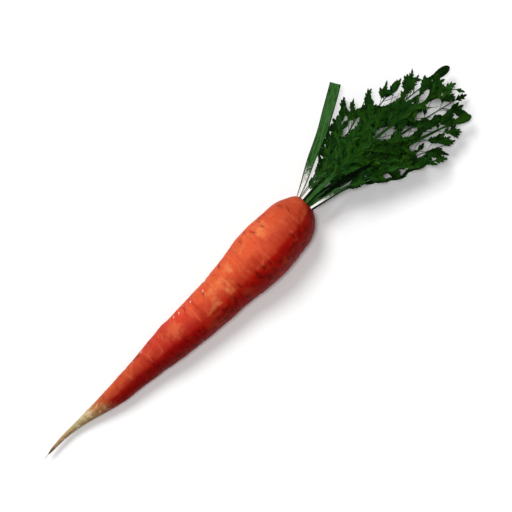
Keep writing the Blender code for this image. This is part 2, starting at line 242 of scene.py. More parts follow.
# Upper layers get a lighter tint: painted light on the top of the foliage
SHADE_BY_LAYER = 0.14
SHADE_SWING = (-0.26, 0.26)
BETWEEN_LEAN = (18, 50)
LOW_LEAN = (8, 26)
LOW_SPREAD = (0.7, 1.1)
COVER_BREADTH = 0.9
COVER_END_SHARE = 0.97
GAP_BREADTH = 0.95
FOOTPRINT_SHARES = (0.15, 0.4, 0.65)
ROW_SWING = (-4, 4)
LEAST_PAIRS = 3
AHEAD = 0.001

# The blade's side ribs: their share of the longest where it starts, and how they shorten
BLADE_START_SHARE = 0.55
BLADE_FULL_AT = 0.3
BLADE_SHORTENING = 0.62
BLADE_CURVE = 1.6

# The fold and the sag of a leaflet of unit length, and its narrower side
LEAFLET_FOLD = 0.16
LEAFLET_EDGE_SAG = 0.30
LEAFLET_OTHER_SIDE = 0.94
LEAFLET_LOW_POINTS = ((1, 0, -LEAFLET_DROOP), (0.5, 0.3, 0), (0.5, -0.3, 0))
LEAFLET_SHARP_ANGLE = math.radians(50)

# How far the leaves spread: distance out from the crown, reach to the left, reach to the right
SPREAD = (
    (0.000, 0.0050, -0.0050), (0.012, 0.0060, -0.0066), (0.020, 0.0105, -0.0092),
    (0.027, 0.0152, -0.0125), (0.037, 0.0195, -0.0205), (0.044, 0.0225, -0.0255),
    (0.055, 0.0220, -0.0300), (0.070, 0.0195, -0.0360), (0.080, 0.0155, -0.0385),
    (0.090, 0.0120, -0.0335), (0.097, 0.0090, -0.0295), (0.106, -0.0020, -0.0240),
    (0.116, -0.0040, -0.0210),
)
LEFT_SPREAD = tuple((out, reach) for out, reach, _ in SPREAD)
RIGHT_SPREAD = tuple((out, reach) for out, _, reach in SPREAD)

# Each frond: place across the crown, layer (9 is the top one), reach of its tip, sideways bow,
# where its blade starts, half the blade's width, half the stalk's width, length of its end lobe
FRONDS = (
    ("frond_01", 0.0035, 1, (0.0530, 0.0240), -0.0042, 0.018, 0.0110, 0.0008, 0.0070),
    ("frond_02", 0.0026, 7, (0.0660, 0.0180), -0.0025, 0.017, 0.0150, 0.0009, 0.0070),
    ("frond_03", 0.0017, 3, (0.0820, 0.0115), -0.0005, 0.016, 0.0165, 0.0010, 0.0075),
    ("frond_04", 0.0008, 5, (0.1010, -0.0005), 0.0030, 0.018, 0.0170, 0.0010, 0.0130),
    ("frond_05", -0.0003, 9, (0.1020, -0.0095), 0.0032, 0.025, 0.0170, 0.0015, 0.0085),
    ("frond_06", -0.0012, 2, (0.1030, -0.0185), 0.0020, 0.019, 0.0170, 0.0010, 0.0080),
    ("frond_07", -0.0022, 6, (0.0925, -0.0270), 0.0022, 0.022, 0.0155, 0.0016, 0.0120),
    ("frond_08", -0.0032, 4, (0.0800, -0.0325), 0.0020, 0.020, 0.0150, 0.0009, 0.0075),
    ("frond_09", -0.0042, 8, (0.0690, -0.0345), 0.0046, 0.022, 0.0130, 0.0015, 0.0090),
    ("frond_10", -0.0050, 0, (0.0510, -0.0240), 0.0028, 0.022, 0.0110, 0.0008, 0.0070),
)

# Half outlines of leaflets of unit length from foot to tip: along, out, and along the midrib
FIVE_LOBED = (
    (0.00, 0.035, 0.00), (0.16, 0.080, 0.12), (0.36, 0.215, 0.24), (0.58, 0.290, 0.38),
    (0.55, 0.120, 0.52), (0.72, 0.155, 0.68), (0.88, 0.085, 0.86),
)
SEVEN_LOBED = (
    (0.00, 0.035, 0.00), (0.12, 0.075, 0.08), (0.26, 0.200, 0.18), (0.44, 0.280, 0.28),
    (0.40, 0.115, 0.38), (0.54, 0.190, 0.48), (0.72, 0.240, 0.58), (0.68, 0.100, 0.68),
    (0.86, 0.085, 0.84),
)
NARROW = (
    (0.00, 0.040, 0.00), (0.20, 0.110, 0.18), (0.44, 0.190, 0.40), (0.60, 0.215, 0.52),
    (0.60, 0.125, 0.62), (0.80, 0.110, 0.80),
)
OVAL = (
    (0.00, 0.080, 0.00), (0.14, 0.135, 0.12), (0.32, 0.180, 0.30), (0.52, 0.205, 0.50),
    (0.72, 0.195, 0.70), (0.87, 0.150, 0.85), (0.96, 0.080, 0.94),
)
LEAFLET_OUTLINES = (FIVE_LOBED, SEVEN_LOBED, NARROW, OVAL)

# Kinds of leaflet by their place in that list, and those that are drawn from at random
KIND_FIVE, KIND_SEVEN, KIND_NARROW, KIND_OVAL = range(len(LEAFLET_OUTLINES))
RIB_KINDS = (KIND_FIVE, KIND_FIVE, KIND_SEVEN, KIND_NARROW, KIND_NARROW)
FILL_KINDS = (KIND_FIVE, KIND_NARROW)

# Openings seen through the leaves: place, half length, half width, turn in degrees
OPENINGS = (
    (0.0480, 0.0127, 0.0066, 0.0016, 2),
    (0.0486, 0.0180, 0.0024, 0.0006, 1),
    (0.0589, -0.0024, 0.0055, 0.0024, -8),
    (0.0627, -0.0055, 0.0043, 0.0020, 8),
    (0.0705, -0.0125, 0.0040, 0.0025, -26),
    (0.0811, -0.0103, 0.0029, 0.0016, 1),
    (0.0886, -0.0150, 0.0060, 0.0018, -10),
    (0.0961, -0.0170, 0.0051, 0.0020, -19),
    (0.0776, -0.0217, 0.0050, 0.0021, -7),
    (0.0673, -0.0206, 0.0041, 0.0018, -9),
    (0.0693, -0.0268, 0.0050, 0.0010, 0),
    (0.0771, -0.0299, 0.0034, 0.0009, -51),
    (0.0873, 0.0014, 0.0062, 0.0013, 3),
    (0.0909, -0.0044, 0.0048, 0.0012, 10),
    (0.0920, -0.0104, 0.0028, 0.0009, 1),
    (0.0719, 0.0099, 0.0042, 0.0017, -26),
    (0.0796, 0.0074, 0.0029, 0.0016, -5),
    (0.0346, -0.0143, 0.0024, 0.0008, -20),
    (0.0441, -0.0213, 0.0019, 0.0009, -26),
    (0.0837, -0.0245, 0.0025, 0.0013, 4),
    (0.0226, -0.0089, 0.0042, 0.0010, -16),
    (0.0520, -0.0262, 0.0019, 0.0008, 24),
    (0.0562, 0.0218, 0.0032, 0.0005, 43),
    (0.0606, 0.0198, 0.0030, 0.0008, 40),
    (0.0645, 0.0190, 0.0036, 0.0012, 43),
    (0.0718, 0.0165, 0.0032, 0.0012, 43),
)
OPENING_MARGIN = 0.0012
RIB_PARTS = 3
RIB_RADIUS = 0.00034
RIB_RADIUS_TIP = 0.00016
RIB_RADIUS_OPEN = 0.00014
RIB_THINNING = 0.00003
RIB_TINT = 0.9
RIB_KIND = -1
GAP_STEP = 0.0015
GAP_REACH = 0.0042
GAP_COVER = 0.0011

# Lone leaflets: frond, foot, heading in degrees, length, number of its kind, breadth, tint
STRAYS = (
    ("frond_02", (0.0390, 0.0150), 4, 0.0125, 2, 0.45, 0.4),
    ("frond_01", (0.0525, 0.0207), 43, 0.0098, 2, 0.55, 0.3),
    ("frond_02", (0.0550, 0.0175), 42, 0.0088, 2, 0.50, 0.3),
    ("frond_02", (0.0652, 0.0148), 43, 0.0092, 2, 0.55, 0.4),
    ("frond_03", (0.0745, 0.0118), 25, 0.0102, 2, 0.60, 0.5),
    ("frond_03", (0.0825, 0.0090), 24, 0.0080, 2, 0.60, 0.4),
    ("frond_04", (0.0905, 0.0062), 44, 0.0096, 2, 0.50, 0.4),
    ("frond_04", (0.0930, 0.0052), 21, 0.0052, 0, 0.80, 0.3),
    ("frond_05", (0.1060, -0.0138), -60, 0.0066, 0, 0.80, 0.5),
    ("frond_06", (0.0985, -0.0222), -62, 0.0090, 3, 0.95, 0.5),
    ("frond_08", (0.0745, -0.0320), -58, 0.0078, 2, 0.75, 0.3),
    ("frond_08", (0.0738, -0.0350), -76, 0.0056, 2, 0.60, 0.3),
)

# Rows of overlapping leaflets: frond, number, length, tint, lift, and along the row x, y, breadth
STALK_SIDE = (
    (0.0195, 0.0088, 0.25), (0.0232, 0.0124, 0.65), (0.0280, 0.0149, 0.80),
    (0.0360, 0.0183, 0.85), (0.0400, 0.0203, 0.70),
)
# Near-black leaflets laid between the fronds: a painted shadow stroke
SHADOW_STROKE = (
    (0.0070, -0.0036, 0.45), (0.0147, -0.0050, 0.85), (0.0225, -0.0062, 1.25),
    (0.0310, -0.0079, 0.80), (0.0385, -0.0100, 0.35),
)
SMOOTH_EDGE = (
    (0.0235, -0.0078, 0.50), (0.0312, -0.0147, 0.80), (0.0375, -0.0195, 0.85),
    (0.0443, -0.0247, 0.85), (0.0492, -0.0278, 0.85), (0.0560, -0.0290, 0.85),
    (0.0625, -0.0320, 0.70),
)
ROWS = (
    ("frond_01", 20, 0.0052, 0.30, 0.0, STALK_SIDE),
    ("frond_05", 22, 0.0070, 0.0, 0.0020, SHADOW_STROKE),
    ("frond_10", 30, 0.0062, 0.34, 0.0003, SMOOTH_EDGE),
)

# Lower edge of the blades, which leaflets keep within: points from the crown outwards
LOWER_EDGE = (
    (0.0180, -0.0062), (0.0243, -0.0103), (0.0301, -0.0156), (0.0366, -0.0204),
    (0.0435, -0.0257), (0.0484, -0.0289), (0.0556, -0.0299), (0.0609, -0.0327),
)
LOWER_EDGE_MARGIN = 0.0006
FLOOR_CLEARANCE = 0.0003

# Stalks: stations along each, their width and height, their pointed end and their section
STALK_STATIONS = 46
STALK_STOUTNESS = 0.95
STALK_HALF_LEAST = 0.00028
STALK_THICK = 0.00072
STALK_THICK_LEAST = 0.00024
STALK_POINT_FROM = 0.96
STALK_POINT_WIDTH = 0.75
STALK_CREST = 0.55
STALK_CHANNEL = 0.42
STALK_SHARP_ANGLE = math.radians(55)
RACHIS_RIBS = 3.0
UV_PER_METRE = 14

# How green each stalk is near the crown, from 0 (pale) to 1 (darkest)
STALK_TINTS = {
    "frond_01": 0.10,
    "frond_02": 0.12,
    "frond_03": 0.15,
    "frond_05": 0.58,
    "frond_07": 0.45,
    "frond_09": 0.12,
}
COMMON_STALK_TINT = 1.0

# Width of a stalk against the frame's, where it differs
STALK_WIDTHS = {"frond_07": 1.35, "frond_08": 0.80, "frond_09": 0.62, "frond_10": 1.20}
LOW_LEAVED = ("frond_01", "frond_02", "frond_03", "frond_04")

# The clipped stalk: its middle line from the crown, and half its width at each point
CLIPPED_LAYER = 9
CLIPPED_LAYER_AT_CROWN = 4.5
CLIPPED_CLIMB_REACH = 0.020
CLIPPED_RISE = 0.0006
CLIPPED_THICKNESS = 0.0016
CLIPPED_STATIONS = 72
CLIPPED_CHANNEL = 0.55
CLIPPED_SIDE_POINTS = 17
CLIPPED_RIBS = 5.0
CLIPPED_LINE = (
    (-0.0014, 0.0047, 0.0009), (0.0060, 0.0080, 0.0016), (0.0130, 0.0116, 0.0021),
    (0.0200, 0.0152, 0.0024), (0.0280, 0.0187, 0.0027), (0.0360, 0.0225, 0.0030),
    (0.0440, 0.0271, 0.0032), (0.0520, 0.0317, 0.0033), (0.0597, 0.0363, 0.0032),
)

# Stage: half the floor's width, where each light comes from, and the camera's sensor
FLOOR_HALF = 3.0
KEY_FROM = (0.10, 0.56, 0.82)
FILL_FROM = (-0.05, 0.07, 1.0)
SENSOR_WIDTH = 36.0

# Where the root lies in the picture, in pixels: its tip, its length and the way it points
MIDDLE_PX = (256.0, 256.0)
TIP_PX = (45.0, 458.0)
ROOT_SPAN_PX = 364.0
ROOT_WAY_PX = (0.7139, 0.7002)


def smooth_step(share):
    """A share from 0 to 1 with soft ends."""
    share = np.clip(share, 0.0, 1.0)
    return share * share * (3 - 2 * share)


def climb(value, low, high):
    """How far a value has climbed from low to high, from 0 to 1."""
    return smooth_step((value - low) / (high - low))


def along(points, at):
    """Value at a place along (place, value) points, joined by a smooth cubic."""
    at = min(max(at, points[0][0]), points[-1][0])
    last = len(points) - 2
    i = next((k for k in range(last) if at <= points[k + 1][0]), last)

    def slope(k):
        low, high = points[max(k - 1, 0)], points[min(k + 1, last + 1)]
        return (high[1] - low[1]) / (high[0] - low[0])

    (x0, y0), (x1, y1) = points[i], points[i + 1]
    span = x1 - x0
    t = (at - x0) / span
    return (
        y0 * (1 + 2 * t) * (1 - t) ** 2
        + slope(i) * span * t * (1 - t) ** 2
        + y1 * t * t * (3 - 2 * t)
        + slope(i + 1) * span * t * t * (t - 1)
    )


def root_middle(share):
    """Middle of the root at a share of its length: across, and above the table."""
    belly = along(ROOT_PROFILE, min(share, SHOULDER_SHARE)) * ROOT_RADIUS
    lift = REST_SAG * (((share - REST_SHARE) / REST_HALF_SHARE) ** 2 - 1)
    return along(ROOT_BOW, share), belly + lift


REST_ACROSS = root_middle(REST_SHARE)[0]
CROWN = Vector(((1 - REST_SHARE) * ROOT_LENGTH, -REST_ACROSS, 0.0))


def add_node(tree, kind, inputs=None, **settings):
    """A node with its settings, each input given as a value or as a socket to link from."""
    made = tree.nodes.new(kind)
    for key, value in settings.items():
        setattr(made, key, value)
    for key, value in (inputs or {}).items():
        if isinstance(value, NodeSocket):
            tree.links.new(value, made.inputs[key])
        else:
            made.inputs[key].default_value = value
    return made


def tinted(colour, share):
    """A colour times one number, or times one for each channel."""
    return tuple(np.multiply(colour, share))


class Recipe:
    """A procedural material round one Principled shader."""

    def __init__(self, name, **constants):
        self.material = bpy.data.materials.new(name)
        self.material.use_nodes = True
        self.tree = self.material.node_tree
        self.shader = self.tree.nodes["Principled BSDF"]
        for socket, value in constants.items():
            self.shader.inputs[socket.replace("_", " ")].default_value = value

    def node(self, kind, inputs=None, **settings):
        return add_node(self.tree, kind, inputs, **settings)

    def noise(self, scale, detail=3.0, roughness=0.5, distortion=0.0, turn=0.0):
        """Noise on Object coordinates, turned about z and then stretched along each axis."""
        source = self.node("ShaderNodeTexCoord").outputs["Object"]
        if turn:
            source = self.node("ShaderNodeVectorRotate", {"Vector": source, "Angle": -turn}).outputs[0]
        vector = self.node("ShaderNodeMapping", {"Vector": source, "Scale": scale}).outputs[0]
        values = {"Vector": vector, "Scale": 1.0, "Detail": detail, "Roughness": roughness}
        values["Distortion"] = distortion
        return self.node("ShaderNodeTexNoise", values).outputs["Fac"]

    def run(self):
        """Distance along the carrot, from its origin towards the leaves."""
        return self.axis(self.node("ShaderNodeTexCoord").outputs["Object"], "X")

    def attribute(self, name):
        return self.node("ShaderNodeAttribute", attribute_name=name).outputs["Fac"]

    def axis(self, vector, name):
        return self.node("ShaderNodeSeparateXYZ", {"Vector": vector}).outputs[name]

    def math(self, operation, first, second=0.0, clamp=False):
        inputs = {0: first, 1: second}
        made = self.node("ShaderNodeMath", inputs, operation=operation, use_clamp=clamp)
        return made.outputs[0]

    def times(self, first, second):
        return self.math("MULTIPLY", first, second)

    def swing(self, value, reach):
        """Noise moved to swing about nought."""
        return self.times(self.math("SUBTRACT", value, 0.5), reach)

    def span(self, value, low, high, to_low=0.0, to_high=1.0):
        """The value's place between low and high, smoothed and held there."""
        ends = {"Value": value, "From Min": low, "From Max": high}
        ends |= {"To Min": to_low, "To Max": to_high}
        made = self.node("ShaderNodeMapRange", ends, interpolation_type="SMOOTHSTEP")
        return made.outputs["Result"]

    def ramp(self, value, stops):
        made = self.node("ShaderNodeValToRGB", {"Fac": value})
        elements = made.color_ramp.elements
        while len(elements) < len(stops):
            elements.new(0.5)
        for element, (position, colour) in zip(elements, stops):
            element.position = position
            element.color = (*colour, 1)
        return made.outputs["Color"]

    def mix(self, factor, first, second, blend="MIX"):
        ends = {0: factor}
        for index, colour in ((6, first), (7, second)):
            ends[index] = colour if isinstance(colour, NodeSocket) else (*colour, 1)
        return self.node("ShaderNodeMix", ends, data_type="RGBA", blend_type=blend).outputs[2]

    def bump(self, height, distance, strength=1.0, below=None):
        values = {"Height": height, "Distance": distance, "Strength": strength}
        if below is not None:
            values["Normal"] = below
        return self.node("ShaderNodeBump", values).outputs["Normal"]

    def finish(self, colour, roughness, normal):
        self.tree.links.new(colour, self.shader.inputs["Base Color"])
        self.tree.links.new(roughness, self.shader.inputs["Roughness"])
        self.tree.links.new(normal, self.shader.inputs["Normal"])
        return self.material


def root_skin_material(settings):
    """Waxy orange skin, painted dark red on its far flank as shade: soft patches, golden ones painted only
    on the lit side, creases darkened as painted shade, tan tail, pale scars as a painted highlight.
    """
    flesh = {"Subsurface_Weight": 0.06, "Subsurface_Scale": 0.002}
    flesh["Subsurface_Radius"] = (1.0, 0.20, 0.08)
    skin = Recipe("root_skin_live", IOR=1.42, Specular_IOR_Level=0.05, **flesh)
    orange, shaded_red = settings.skin_colour, settings.flank_colour
    patch = skin.noise((48, 85, 85), 4, 0.55, 0.5)
    gold = skin.noise((95, 95, 130), 3, 0.55, 0.2)
    bands = skin.noise((300, 60, 60), 3, 0.6, 0.5)
    streaks = skin.noise((70, 600, 600), 3, 0.55)
    pores = skin.noise((1500, 620, 620), 2, 0.5)
    cells = skin.noise((2600, 2600, 2600), 2, 0.6)
    # Painted shade: the skin runs from orange on the lit side through half-shaded and shaded reds to the
    # darkest red on the far flank.
    sway = skin.swing(patch, 0.55)
    flank = skin.math("ADD", skin.attribute("flank"), sway, clamp=True)
    half_shaded_orange, shaded_crimson = tinted(orange, (0.66, 0.34, 0.35)), tinted(shaded_red, (1.55, 1.9, 1.6))
    base = skin.ramp(flank, ((0.00, orange), (0.45, half_shaded_orange), (0.82, shaded_crimson), (1.00, shaded_red)))
    run = skin.run()
    near_crown = skin.span(run, 0.030, 0.064, 0.0, 0.62)
    near_tail = skin.span(run, 0.000, -0.075, 0.0, 0.50)
    base = skin.mix(skin.math("MAXIMUM", near_crown, near_tail), base, (0.50, 0.36, 0.36), "MULTIPLY")
    redder = skin.times(skin.span(run, -0.010, -0.034), skin.span(run, -0.078, -0.054))
    base = skin.mix(redder, base, (0.98, 0.62, 0.88), "MULTIPLY")
    # Painted light: golden and rosy patches show only towards the lit side, and the golden colour runs
    # from a lit copy to a shaded copy across the flank.
    lit = skin.span(flank, 0.42, 0.80, 1.0, 0.10)
    below_crown = skin.span(run, 0.044, 0.060, 1.0, 0.2)
    lit_patch_strength = skin.times(skin.span(flank, 0.42, 0.80, 1.0, 0.55), below_crown)
    golden = skin.times(skin.span(gold, 0.50, 0.70, 0.0, 0.60), lit_patch_strength)
    golden = skin.times(golden, skin.span(run, -0.052, -0.016, 0.18, 1.0))
    gold_lit_to_shaded = skin.mix(skin.span(flank, 0.42, 0.80), (0.74, 0.25, 0.085), (0.33, 0.045, 0.012))
    base = skin.mix(golden, base, gold_lit_to_shaded)
    rosy = skin.times(skin.span(gold, 0.46, 0.30, 0.0, 0.45), lit_patch_strength)
    base = skin.mix(rosy, base, (0.78, 0.50, 0.60), "MULTIPLY")
    base = skin.mix(skin.span(bands, 0.46, 0.32, 0.0, 0.26), base, (0.28, 0.010, 0.005))
    # Pale growth bands, shown only on the lit side, where their paleness is a painted highlight.
    faint = skin.times(skin.span(bands, 0.54, 0.70, 0.0, 0.22), lit)
    base = skin.mix(faint, base, (0.82, 0.20, 0.07))
    # Dark mottles of the skin, laid only over the shaded flank as painted shade.
    cast = skin.noise((230, 200, 200), 4, 0.6, 0.6)
    shaded_mottle = skin.times(skin.span(cast, 0.50, 0.36, 0.0, 0.75), skin.span(flank, 0.50, 0.82))
    shaded_mottle = skin.times(shaded_mottle, skin.span(run, -0.095, -0.055, 0.25, 1.0))
    base = skin.mix(shaded_mottle, base, (0.46, 0.40, 0.50), "MULTIPLY")
    # Painted shade in the creases, darker where they cut deeper.
    base = skin.mix(skin.attribute("crease"), base, (0.34, 0.24, 0.30), "MULTIPLY")
    base = skin.mix(skin.span(pores, 0.66, 0.73, 0.0, 0.35), base, (0.22, 0.012, 0.006))
    tail = skin.ramp(skin.attribute("tail"), TAIL_COLOURS)
    grain = skin.noise((260, 520, 520), 4, 0.65, 0.3)
    # The tail is painted darker on the shaded flank too, as shade.
    tail = skin.mix(skin.times(flank, 0.75), tail, (0.20, 0.10, 0.035))
    tail = skin.mix(skin.span(streaks, 0.45, 0.65, 0.0, 0.4), tail, (0.30, 0.20, 0.09))
    tail = skin.mix(skin.span(grain, 0.52, 0.66, 0.0, 0.55), tail, (0.66, 0.60, 0.42))
    tail = skin.mix(skin.span(grain, 0.48, 0.34, 0.0, 0.55), tail, (0.16, 0.10, 0.040))
    edge = skin.swing(gold, 0.6)
    edge = skin.math("ADD", edge, skin.swing(streaks, 0.5))
    edge = skin.times(edge, skin.span(skin.attribute("tail"), 0.72, 1.0, 1.0, 0.0))
    reach = skin.math("ADD", skin.attribute("tail"), edge)
    base = skin.mix(skin.span(reach, 0.62, 1.00, 1.0, 0.0), base, tail)
    # Pale scars where glints fall: their paleness is a painted highlight.
    base = skin.mix(skin.attribute("scar"), base, (0.92, 0.60, 0.46))
    base = skin.mix(skin.attribute("crown"), base, (0.16, 0.12, 0.03))
    rough = skin.span(skin.noise((210, 210, 210), 3), 0.3, 0.7, 0.40, 0.56)
    rough = skin.math("SUBTRACT", rough, skin.times(skin.attribute("scar"), 0.20))
    normal = skin.bump(bands, 0.0006, 0.30)
    normal = skin.bump(streaks, 0.0002, 0.25, normal)
    normal = skin.bump(pores, 0.00020, 0.30, normal)
    normal = skin.bump(cells, 0.00006, 0.45, normal)
    return skin.finish(base, rough, normal)


def leaf_material(settings):
    """Dark cut leaf: tint by leaflet, lighter on upper layers as painted light, near-black as painted
    shadow, drifts of yellower and bluer green, faint veins along its UV.
    """
    leaf = Recipe("leaf_green_live", Subsurface_Weight=0.0, Specular_IOR_Level=0.02)
    green, light = settings.leaf_colour, settings.leaf_light_colour
    darkest, darker = tinted(green, 0.10), tinted(green, 0.50)
    stops = ((0.00, darkest), (0.25, darker), (0.55, green), (1.00, light))
    base = leaf.ramp(leaf.attribute("tint"), stops)
    drift = leaf.noise((75, 110, 110), 3, 0.6, 0.6)
    yellower = leaf.span(drift, 0.50, 0.66, 0.0, 0.60)
    base = leaf.mix(yellower, base, leaf.mix(1.0, base, (1.9, 1.25, 0.7), "MULTIPLY"))
    out = leaf.run()
    near = leaf.span(out, 0.080, 0.110, 0.75, 0.0)
    bluer = leaf.math("MAXIMUM", near, leaf.span(drift, 0.46, 0.34, 0.0, 0.6))
    base = leaf.mix(bluer, base, leaf.mix(1.0, base, (0.95, 0.95, 2.6), "MULTIPLY"))
    mottle = leaf.noise((500, 900, 900), 3, 0.6)
    base = leaf.mix(leaf.span(mottle, 0.45, 0.75, 0.0, 0.35), base, light)
    base = leaf.mix(leaf.span(mottle, 0.48, 0.28, 0.0, 0.55), base, tinted(green, 0.2))
    base = leaf.mix(leaf.span(out, 0.104, 0.134, 0.0, 0.26), base, (0.0, 0.0, 0.0))
    # Near-black for leaflets of tint nought: the painted shadow stroke.
    shadow_black = leaf.span(leaf.attribute("tint"), 0.0, 0.10, 1.0, 0.0)
    base = leaf.mix(shadow_black, base, (0.0008, 0.0030, 0.0008))
    uv = leaf.node("ShaderNodeUVMap", uv_map="blade").outputs["UV"]
    across = leaf.math("ABSOLUTE", leaf.math("SUBTRACT", leaf.axis(uv, "X"), 0.5))
    rib = leaf.span(across, 0.012, 0.040, 1.0, 0.0)
    slant = leaf.math("SUBTRACT", leaf.axis(uv, "Y"), leaf.times(across, 0.9))
    comb = leaf.math("ABSOLUTE", leaf.math("SINE", leaf.times(slant, 22.0)))
    veins = leaf.math("MAXIMUM", rib, leaf.span(comb, 0.0, 0.16, 0.55, 0.0))
    pale = leaf.mix(1.0, base, (1.7, 1.6, 1.6), "MULTIPLY")
    base = leaf.mix(leaf.times(veins, 0.45), base, pale)
    rough = leaf.span(mottle, 0.3, 0.7, 0.60, 0.75)
    normal = leaf.bump(veins, 0.00006, 0.6)
    normal = leaf.bump(mottle, 0.00008, 0.5, normal)
    return leaf.finish(base, rough, normal)


def stalk_material(settings, name, ribs, turn=0.0):
    """Leaf stalk: pale near the crown, greener outwards, streaked along the turned x axis."""
    stalk = Recipe(name, Specular_IOR_Level=0.04, Subsurface_Weight=0.03, Subsurface_Scale=0.001)
    uv = stalk.node("ShaderNodeUVMap", uv_map="blade").outputs["UV"]
    u, v = stalk.axis(uv, "X"), stalk.axis(uv, "Y")
    tint = stalk.attribute("tint")
    green, pale, dark = settings.stalk_colour, settings.pith_colour, settings.leaf_colour
    fine = stalk.noise((300, 1400, 1400), 2, 0.6, turn=turn)
    wave = stalk.math("SINE", stalk.times(u, ribs * 2 * math.pi))
    wander = stalk.swing(fine, 0.35)
    grown = stalk.span(stalk.math("ADD", v, wander), 0.11, 0.28)
    body = stalk.mix(stalk.span(wave, 0.1, 1.0, 0.0, 0.40), green, tinted(green, 1.5))
    streak = stalk.noise((130, 900, 900), 3, 0.6, 0.4, turn=turn)
    body = stalk.mix(stalk.span(streak, 0.44, 0.62, 0.0, 0.85), body, dark)
    body = stalk.mix(stalk.span(tint, 0.50, 1.0), body, tinted(dark, 0.20))
    outer = stalk.times(stalk.span(v, 0.30, 0.45), stalk.span(tint, 0.02, 0.08))
    body = stalk.mix(outer, body, tinted(dark, 1.1))
    keep = stalk.math("MAXIMUM", grown, stalk.span(tint, 0.20, 0.40))
    margin = stalk.attribute("margin")
    core = stalk.mix(keep, pale, body)
    edge = stalk.math("SUBTRACT", margin, stalk.times(wander, 0.8))
    edge = stalk.math("SUBTRACT", edge, stalk.times(grown, 0.22))
    base = stalk.mix(stalk.span(edge, 0.52, 0.74, 0.0, 0.97), core, tinted(dark, 0.15))
    base = stalk.mix(stalk.span(fine, 0.55, 0.75, 0.0, 0.35), base, tinted(green, 0.6))
    base = stalk.mix(stalk.attribute("cut"), base, (0.42, 0.50, 0.26))
    rough = stalk.span(fine, 0.3, 0.7, 0.48, 0.64)
    normal = stalk.bump(wave, 0.00010, 0.7)
    normal = stalk.bump(fine, 0.00006, 0.5, normal)
    return stalk.finish(base, rough, normal)


def hair_material():
    """Dry rootlets: pale grey-brown, streaked."""
    hair = Recipe("rootlet_live")
    grain = hair.noise((900, 900, 900), 2)
    colour = hair.ramp(grain, ((0.3, (0.34, 0.27, 0.18)), (0.7, (0.62, 0.55, 0.42))))
    return hair.finish(colour, hair.span(grain, 0.2, 0.8, 0.6, 0.8), hair.bump(grain, 0.00002))


def floor_material(settings):
    """Matt white paper with a very faint tooth."""
    paper = Recipe("studio_paper", Specular_IOR_Level=0.0)
    tooth = paper.noise((900, 900, 900), 3)
    white = settings.paper_white
    colour = paper.ramp(tooth, ((0.0, (white - 0.01,) * 3), (1.0, (white,) * 3)))
    return paper.finish(colour, paper.span(tooth, 0, 1, 0.9, 1.0), paper.bump(tooth, 0.00001))


def place_object(name, data):
    made = bpy.data.objects.new(name, data)
    bpy.context.scene.collection.objects.link(made)
    return made


def new_mesh_object(name, verts, faces, materials, edges=()):
    mesh = bpy.data.meshes.new(name)
    mesh.from_pydata([tuple(v) for v in verts], edges, faces)
    for material in materials:
        mesh.materials.append(material)
    return place_object(name, mesh)


class Points:
    """Places for a mesh, with the named values that each of them carries."""

    def __init__(self, *names):
        self.places = []
        self.columns = {name: [] for name in names}

    def add(self, place, *values):
        self.places.append(place)
        for column, value in zip(self.columns.values(), values):
            column.append(value)

    def store(self, mesh):
        """Writes each column as an attribute of the mesh, of numbers or of vectors."""
        for name, column in self.columns.items():
            values = np.asarray(column, np.float32)
            kind, key = ("FLOAT_VECTOR", "vector") if values.ndim == 2 else ("FLOAT", "value")
            mesh.attributes.new(name, kind, "POINT").data.foreach_set(key, values.ravel())


def ring_faces(rings, sides):
    """Faces between neighbouring rings of a tube."""
    faces = []
    for start in range(0, (rings - 1) * sides, sides):
        for k in range(sides):
            a, b = start + k, start + (k + 1) % sides
            faces.append((a, b, b + sides, a + sides))
    return faces


def turn_outwards(mesh):
    bm = bmesh.new()
    bm.from_mesh(mesh)
    bmesh.ops.recalc_face_normals(bm, faces=bm.faces)
    bm.to_mesh(mesh)
    bm.free()


def arc_distance(angles, middle):
    """Degrees from a middle angle, for angles in radians from the top."""
    return (np.degrees(angles) - middle + 180) % 360 - 180


def arc_fade(side, half_arc):
    """One at the middle of an arc, falling to nought at its ends."""
    return np.where(np.abs(side) < half_arc, np.cos(np.pi / 2 * side / half_arc), 0.0)


def bell(away, reach):
    return np.exp(-((away / reach) ** 2))


